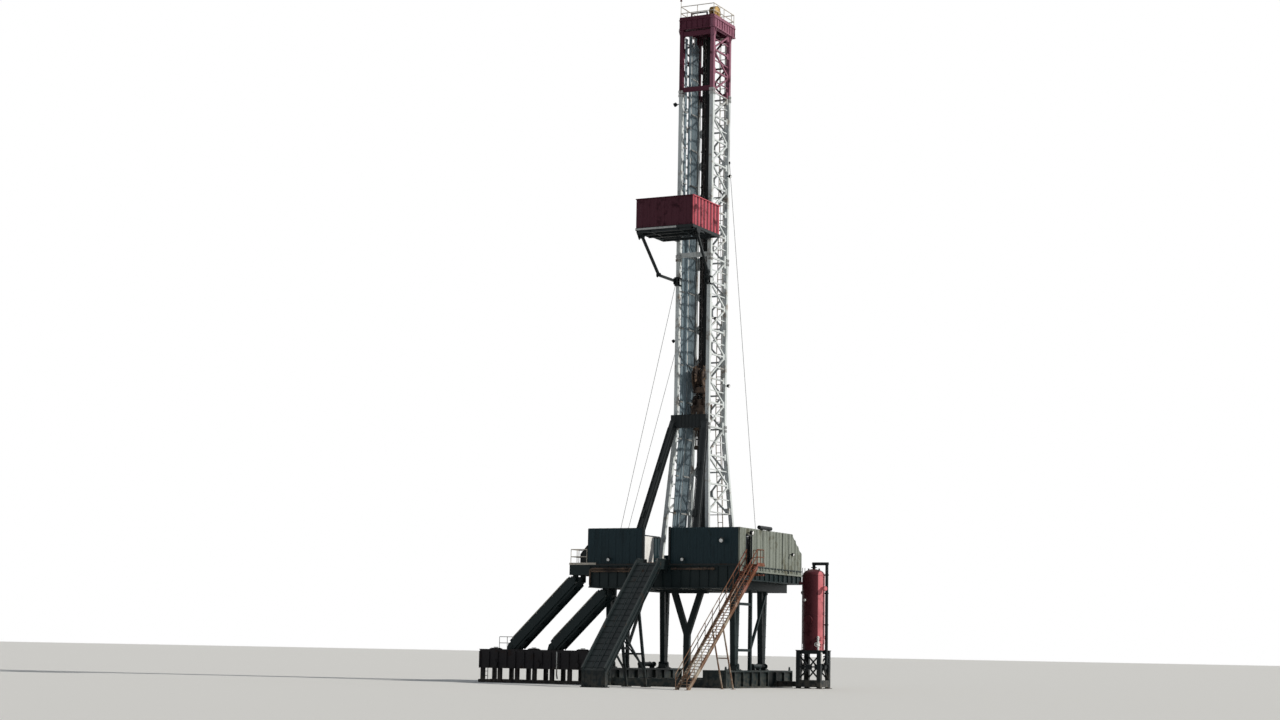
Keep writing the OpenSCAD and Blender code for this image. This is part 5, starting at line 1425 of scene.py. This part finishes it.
def addVesselDetails(s):
    lo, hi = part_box("gas_separator")
    centre = Vector((s["x"], s["y"], 0))
    r = s["r"]
    bm = bmesh.new()
    for z in (lo.z + 0.24, lo.z + 1.30, hi.z - 0.26):
        addTurned(bm, centre + onZ(z), (0, 0, 1),
            [(r - 0.01, 0), (r + 0.010, 0), (r + 0.010, 0.03), (r - 0.01, 0.03)], 40)
    addTurned(bm, centre + onZ(lo.z), (0, 0, 1),
        [(r - 0.02, 0), (r + 0.03, 0), (r + 0.03, 0.025), (r - 0.02, 0.025)], 40)
    # Manway facing the front and nozzles round the body
    for angle, z, size, reach in ((-90, 1.15, 0.17, 0.13), (-20, 2.35, 0.09, 0.16),
            (160, 2.2, 0.08, 0.14), (60, 0.5, 0.07, 0.14), (-145, 2.55, 0.06, 0.12),
            (-35, 0.42, 0.075, 0.15)):
        out = Vector((math.cos(math.radians(angle)), math.sin(math.radians(angle)), 0))
        at = centre + out * (r - 0.03) + onZ(lo.z + z)
        addTurned(bm, at, out, [(size * 0.75, 0), (size * 0.75, reach), (size, reach),
            (size, reach + 0.025), (size * 0.98, reach + 0.030), (size, reach + 0.035),
            (size, reach + 0.06), (0, reach + 0.06)], 22)
        addBolts(bm, at + out * (reach + 0.06), out, size * 0.86, 10, 0.014)
    for k in range(2):
        # Lifting eyes on the head
        x = s["x"] + (-0.22 if k else 0.22)
        addPad(bm, x, s["y"], 0.012, 0.05, hi.z - 0.10, hi.z + 0.02)
    finishPiece("vessel_fittings", bm, "vessel")
    bm = bmesh.new()
    # Ladder at the rear left, clear of the pipe
    for side in (-1, 1):
        a = centre + Vector((-0.50, 0.12 * side + 0.18, 0))
        addTube(bm, a + onZ(0.05), a + onZ(hi.z + 0.05), 0.014, 8)
        for z in (1.9, 3.0, 4.2):
            addTube(bm, a + onZ(z), a + Vector((0.14, -0.02, z)), 0.010, 6)
    for k in range(29):
        z = 0.2 + 0.15 * k
        addTube(bm, centre + Vector((-0.50, 0.06, z)), centre + Vector((-0.50, 0.30, z)), 0.009, 6)
    finishPiece("vessel_ladder", bm, "galvanised")
    # Cross braces, foot plates and pipe clamps on the stand
    bm = bmesh.new()
    half = 0.425
    for a, b in (((-half, -half), (half, -half)), ((half, -half), (half, half)),
            ((-half, half), (half, half)), ((-half, -half), (-half, half))):
        a, b = centre + Vector((*a, 0)), centre + Vector((*b, 0))
        addBar(bm, a + onZ(0.34), b + onZ(1.28), 0.05, 0.05)
        addBar(bm, b + onZ(0.34), a + onZ(1.28), 0.05, 0.05)
        middle = (a + b) / 2
        addBar(bm, a + onZ(0.82), b + onZ(0.82), 0.06, 0.05)
        addBox(bm, middle - Vector((0.09, 0.09, -0.74)), middle + Vector((0.09, 0.09, 0.90)))
    for sx, sy in corners:
        at = centre + Vector((sx * half, sy * half, 0))
        addBox(bm, at - Vector((0.13, 0.13, 0)), at + Vector((0.13, 0.13, 0.022)))
        addBox(bm, at + Vector((-0.10, -0.10, 1.43)), at + Vector((0.10, 0.10, 1.455)))
    for z in (1.2, 2.4, 3.6, 4.3):
        # Clamps of the vent pipe
        addRing(bm, centre + Vector((0.535, 0, z)), (0, 0, 1), 0.055, 0.075, 0.05, 16)
        addBar(bm, centre + Vector((0.41, 0, z + 0.025)), centre + Vector((0.50, 0, z + 0.025)), 0.03,
            0.04)
    for at in (centre + onZ(hi.z + 0.04), centre + Vector((0.535, 0, 0.93))):
        addRing(bm, at, (0, 0, 1), 0.055, 0.11, 0.03, 20)
        addBolts(bm, at + onZ(0.03), (0, 0, 1), 0.09, 8, 0.014)
    finishPiece("stand_fittings", bm, "stand")
    bm = bmesh.new()
    # Pale drain line at the vessel's right foot, with a valve
    a = centre + Vector((0.36, -0.40, 1.95))
    addPath(bm, [centre + Vector((0.30, -0.30, 1.95)), a, a + onZ(-0.62),
        a + Vector((0.16, -0.05, -0.62)), a + Vector((0.16, -0.05, -1.0))], 0.045, 14)
    addTurned(bm, a + onZ(-0.34), (0, 0, 1), [(0, 0), (0.085, 0), (0.085, 0.02), (0.06, 0.03),
        (0.06, 0.09), (0.085, 0.10), (0.085, 0.12), (0, 0.12)], 18)
    addTube(bm, a + onZ(-0.28), a + Vector((0, -0.16, -0.28)), 0.014, 8)
    addRing(bm, a + Vector((0, -0.16, -0.28)), (0, -1, 0), 0.06, 0.078, 0.014, 18)
    # Gauge
    addTurned(bm, centre + Vector((-0.16, -0.41, 3.35)), (-0.3, -1, 0),
        [(0, 0), (0.015, 0), (0.015, 0.05), (0.05, 0.05), (0.05, 0.075), (0, 0.08)], 18)
    finishPiece("drain_pipe", bm, "white")


addVesselDetails(vesselFit)
print("arms, ramp, stair and vessel details done")


# Power pack and hose reel on the wing beside the wall
wingFit = {"x": -3.38, "y": -2.45, "high": 0.74}


def addWingPack(s):
    base = floorZ + 0.012
    dark, pale = bmesh.new(), bmesh.new()
    x0, x1 = s["x"] - 0.30, s["x"] + 0.28
    y0, y1 = s["y"] - 0.36, s["y"] + 0.36
    # Skid, sloping cover, louvres and lid
    for y in (y0, y1 - 0.06):
        addBox(dark, (x0, y, base), (x1, y + 0.06, base + 0.08))
    addPrism(dark, [(x0, y0, base + 0.08), (x1, y0, base + 0.08), (x1, y0, base + s["high"]),
        (x0 + 0.30, y0, base + s["high"]), (x0, y0, base + 0.40)], (0, y1 - y0, 0))
    for k in range(9):
        z = base + 0.16 + 0.045 * k
        addBar(dark, (x0 + 0.34, y0 - 0.008, z), (x1 - 0.04, y0 - 0.008, z), 0.016, 0.020)
    for k in range(5):
        y = y0 + 0.10 + 0.13 * k
        addBar(dark, (x0 + 0.02, y, base + 0.43), (x0 + 0.29, y, base + s["high"] + 0.005), 0.02, 0.02)
    addTube(dark, (s["x"] + 0.15, s["y"] - 0.2, base + s["high"]),
        (s["x"] + 0.15, s["y"] - 0.2, base + s["high"] + 0.14), 0.035, 14)
    addPath(dark, [(s["x"] + 0.15, s["y"] - 0.2, base + s["high"] + 0.12),
        (s["x"] + 0.15, s["y"] - 0.2, base + s["high"] + 0.20),
        (s["x"] + 0.06, s["y"] - 0.2, base + s["high"] + 0.24)], 0.028, 12)
    for y in (y0 + 0.14, y1 - 0.14):
        addTube(pale, (x0 + 0.02, y, base + 0.30), (x0 - 0.012, y, base + 0.30), 0.02, 10)
        addBox(pale, (x1 - 0.10, y - 0.05, base + s["high"]),
            (x1 - 0.02, y + 0.05, base + s["high"] + 0.02))
    # Reel with hose further along the wing
    reel = Vector((s["x"] + 0.02, -1.55, base + 0.33))
    for side in (-0.20, 0.17):
        addDisc(dark, reel + onX(side), (1, 0, 0), 0.28, 0.012, 26)
        addTurned(dark, reel + onX(side), (1, 0, 0),
            [(0.27, -0.006), (0.295, -0.006), (0.295, 0.018), (0.27, 0.018), (0.27, -0.006)], 26)
        addBar(dark, reel + onX(side), reel + Vector((side, -0.2, -0.32)), 0.04, 0.04)
        addBar(dark, reel + onX(side), reel + Vector((side, 0.2, -0.32)), 0.04, 0.04)
    addDisc(dark, reel + onX(-0.19), (1, 0, 0), 0.20, 0.36, 22)
    for k in range(8):
        addTurned(pale, reel + onX(-0.165 + 0.042 * k), (1, 0, 0),
            [(0.20, -0.018), (0.222, -0.010), (0.226, 0), (0.222, 0.010), (0.20, 0.018)], 26)
    finishPiece("wing_pack", dark, "machine")
    finishPiece("wing_pack_fittings", pale, "rubber")


addWingPack(wingFit)
print("wing pack done")


# Rounded line guard at the crown's right, over the deck
guardFit = {"x": 0.56, "y": -0.36, "r": 0.28, "half": 0.12}


def addLineGuard(s):
    base = crownHi.z + 0.004
    bm = bmesh.new()
    at = Vector((s["x"], s["y"], base + 0.24))
    arc = [at + Vector((0, s["r"] * math.cos(math.radians(a)),
        s["r"] * math.sin(math.radians(a)))) for a in range(0, 181, 12)]
    side = [Vector((at.x, at.y + s["r"], base))] + arc + [Vector((at.x, at.y - s["r"], base))]
    for x in (-s["half"], s["half"] - 0.012):
        addPrism(bm, [p + onX(x) for p in side], (0.012, 0, 0))
    for first, last in zip(arc, arc[1:]):
        middle, step = (first + last) / 2, last - first
        addBar(bm, middle - step * 0.53 + onX(-s["half"]), middle + step * 0.53 + onX(-s["half"]), 0.02,
            0.02)
        addBar(bm, middle - onX(s["half"]), middle + onX(s["half"]), step.length * 1.02, 0.010)
        addBar(bm, middle - step * 0.53 + onX(s["half"]), middle + step * 0.53 + onX(s["half"]), 0.02,
            0.02)
    for dy in (-0.20, -0.07, 0.07, 0.20):
        addBolts(bm, at + Vector((s["half"], dy, -0.18)), (1, 0, 0), 0.0, 1, 0.016)
        addBar(bm, Vector((at.x + s["half"] + 0.006, at.y + dy, base)),
            Vector((at.x + s["half"] + 0.006, at.y + dy, base + 0.30)), 0.02, 0.012)
    for y in (-s["r"], s["r"] - 0.05):
        addBox(bm, (at.x - s["half"] - 0.05, at.y + y, base - 0.002),
            (at.x + s["half"] + 0.05, at.y + y + 0.05, base + 0.02))
    addTurned(bm, at - onX(s["half"] + 0.06), (1, 0, 0),
        [(0, 0), (0.05, 0), (0.05, 0.02), (0.035, 0.03), (0.035, 2 * s["half"] + 0.09),
        (0.05, 2 * s["half"] + 0.10), (0.05, 2 * s["half"] + 0.12), (0, 2 * s["half"] + 0.12)], 18)
    finishPiece("line_guard", bm, "guard")


addLineGuard(guardFit)


# Stiffeners on the floor frame's rear and left faces
edgeFit = {"pitch": 0.60, "rib": 0.014, "deep": 0.045, "low": 3.68}


def addEdgeRibs(s):
    lo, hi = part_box("floor_frame")
    high = floorZ - 0.06
    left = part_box("wing_platform")[1].y + 0.25
    bm = bmesh.new()
    for a, b, out in (((lo.x + 0.06, hi.y, 0), (2.60, hi.y, 0), (0, 1, 0)),
            ((lo.x, left, 0), (lo.x, hi.y - 0.15, 0), (-1, 0, 0))):
        a, b, out = Vector(a), Vector(b), Vector(out)
        count = int((b - a).length / s["pitch"])
        along = (b - a).normalized() * (s["rib"] / 2)
        for k in range(count + 1):
            c = a.lerp(b, k / count)
            foot, head = c + onZ(s["low"]), c + onZ(high)
            addPrism(bm, [foot - out * 0.004 - along, foot + out * 0.01 - along,
                foot + out * s["deep"] + onZ(0.07) - along, head + out * s["deep"] - onZ(0.07) - along,
                head + out * 0.01 - along, head - out * 0.004 - along], along * 2)
        for z in (s["low"] - 0.012, high - 0.012):
            lift = onZ(z + 0.012)
            addBar(bm, a + lift + out * 0.02, b + lift + out * 0.02, 0.044, 0.024)
    finishPiece("frame_ribs", bm, "base")


addEdgeRibs(edgeFit)


# Raising struts: flange plates, splices, foot pins, and a stiffened head with cover plates
strutFit = {"footX": 1.30, "footY": -3.15, "wide": 0.23, "headX": 0.655, "headZ": 10.18}


def addStrutDetails(s):
    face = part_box("raising_struts")[1].y
    bm = bmesh.new()
    half = s["wide"] / 2
    for side in (-1, 1):
        foot = Vector((side * s["footX"], s["footY"], floorZ + 0.14))
        head = Vector((side * s["headX"], face - 0.14, s["headZ"]))
        along = (head - foot).normalized()
        across = along.cross(onY(1)).normalized()
        out = along.cross(across).normalized()
        for x in (-1, 1):
            # Lips along the edges of the square tube
            for y in (-1, 1):
                a = foot + along * 0.30 + across * (x * half) + out * (y * half)
                b = head - along * 0.34 + across * (x * half) + out * (y * half)
                addBar(bm, a, b, 0.030, 0.030)
        for share in (0.32, 0.66):
            # Splice plates with bolts
            c = foot.lerp(head, share)
            for y in (-1, 1):
                at = c + out * (y * (half + 0.004))
                addBar(bm, at - along * 0.17, at + along * 0.17, 0.012, 0.17)
                addBar(bm, at - along * 0.17, at + along * 0.17, 0.17, 0.012)
                for m in (-0.12, -0.04, 0.04, 0.12):
                    for n in (-0.055, 0.055):
                        p = at + along * m + across * n
                        addTube(bm, p, p + out * (y * 0.022), 0.011, 6)
        # Foot: clevis plates and a pin
        pin = foot + onZ(0.05)
        for x in (-1, 1):
            addPrism(bm, [pin + Vector((x * 0.155, -0.15, -0.17)),
                pin + Vector((x * 0.155, 0.17, -0.17)), pin + Vector((x * 0.155, 0.12, 0.06)),
                pin + Vector((x * 0.155, -0.02, 0.12)), pin + Vector((x * 0.155, -0.12, 0.05))],
                (x * 0.022, 0, 0))
            addTurned(bm, pin + onX(x * 0.177), (x, 0, 0),
                [(0, 0), (0.075, 0), (0.075, 0.02), (0, 0.024)], 18)
        for x in (-0.14, 0.14):
            for y in (-0.14, 0.14):
                p = Vector((side * s["footX"] + x, s["footY"] + y, floorZ + 0.16))
                addPost(bm, p, 0.030, 0.018, 6)
        # Head block: cover plate, bolts and side pin
        x0, x1 = sorted((side * 0.535, side * 0.735))
        addBox(bm, (x0, face - 0.272, 9.98), (x1, face - 0.258, 10.37))
        for x in (x0 + 0.03, x1 - 0.03):
            for z in (10.02, 10.12, 10.23, 10.33):
                addTube(bm, (x, face - 0.270, z), (x, face - 0.290, z), 0.012, 6)
        addTurned(bm, (side * 0.745, face - 0.13, 10.18), (side, 0, 0),
            [(0, 0), (0.085, 0), (0.085, 0.022), (0.03, 0.022), (0.03, 0.05), (0, 0.05)], 22)
    # Cross beam between the heads: flanges and stiffeners, and lifting eyes
    for z in (9.925, 10.415):
        addBox(bm, (-0.52, face - 0.258, z - 0.014), (0.52, face - 0.075, z + 0.004))
    for k in range(7):
        x = -0.45 + 0.15 * k
        addBox(bm, (x - 0.007, face - 0.256, 9.93), (x + 0.007, face - 0.238, 10.41))
    for x in (-0.30, 0.30):
        addPrism(bm, [(x - 0.008, face - 0.21, 10.41), (x - 0.008, face - 0.11, 10.41),
            (x - 0.008, face - 0.13, 10.52), (x - 0.008, face - 0.19, 10.52)], (0.016, 0, 0))
    finishPiece("strut_fittings", bm, "machine")


addStrutDetails(strutFit)
print("strut details done")


# Drilling lines: straight ropes between the crown and the block, built over the imported lines, which are
# hidden
def addDrillingLines():
    lo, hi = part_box("drilling_lines")
    r = 0.012
    bm = bmesh.new()
    xs = [lo.x + r + (hi.x - lo.x - 2 * r) * i / 3 for i in range(4)]
    for x in xs:
        for y in (lo.y + r, hi.y - r):
            addTube(bm, (x, y, lo.z), (x, y, hi.z), r, 8)
    piece = finishPiece("hoisting_lines", bm, "rope", body=None)
    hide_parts("drilling_lines")
    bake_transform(piece)


addDrillingLines()
print("lines done")


# Floor, backdrop and light
def addStage():
    bm = bmesh.new()
    bmesh.ops.create_grid(bm, x_segments=1, y_segments=1, size=900)
    mesh = bpy.data.meshes.new("floor")
    bm.to_mesh(mesh)
    bm.free()
    ground = bpy.data.objects.new("floor", mesh)
    scene.collection.objects.link(ground)
    mat, _, _, shader = newMaterial("paleFloor")
    shader.inputs["Base Color"].default_value = (0.72, 0.72, 0.71, 1)
    shader.inputs["Roughness"].default_value = 0.9
    mesh.materials.append(mat)


def addWorld():
    world = bpy.data.worlds.new("world")
    scene.world = world
    world.use_nodes = True
    nodes, links = world.node_tree.nodes, world.node_tree.links
    nodes.clear()
    out = nodes.new("ShaderNodeOutputWorld")
    soft = nodes.new("ShaderNodeBackground")
    soft.inputs["Color"].default_value = (0.80, 0.90, 1.0, 1)
    soft.inputs["Strength"].default_value = 0.20
    plain = nodes.new("ShaderNodeBackground")
    plain.inputs["Strength"].default_value = 1.0
    plain.inputs["Color"].default_value = (1, 1, 1, 1)
    path = nodes.new("ShaderNodeLightPath")
    first = nodes.new("ShaderNodeMath")
    first.operation = "MAXIMUM"
    links.new(path.outputs["Is Camera Ray"], first.inputs[0])
    links.new(path.outputs["Is Glossy Ray"], first.inputs[1])
    second = nodes.new("ShaderNodeMath")
    second.operation = "MAXIMUM"
    links.new(first.outputs[0], second.inputs[0])
    links.new(path.outputs["Is Transmission Ray"], second.inputs[1])
    mix = nodes.new("ShaderNodeMixShader")
    links.new(second.outputs[0], mix.inputs[0])
    links.new(soft.outputs[0], mix.inputs[1])
    links.new(plain.outputs[0], mix.inputs[2])
    links.new(mix.outputs[0], out.inputs["Surface"])


def addSun(name, energy, angle, direction, colour):
    data = bpy.data.lights.new(name, "SUN")
    data.energy = energy
    data.angle = math.radians(angle)
    data.color = colour
    lamp = bpy.data.objects.new(name, data)
    scene.collection.objects.link(lamp)
    lamp.rotation_euler = (-Vector(direction)).to_track_quat("-Z", "Y").to_euler()


addStage()
addWorld()
addSun("keyLight", 3.3, 2, (0.90, 0.16, 0.60), (1.0, 0.95, 0.87))
print("light done")
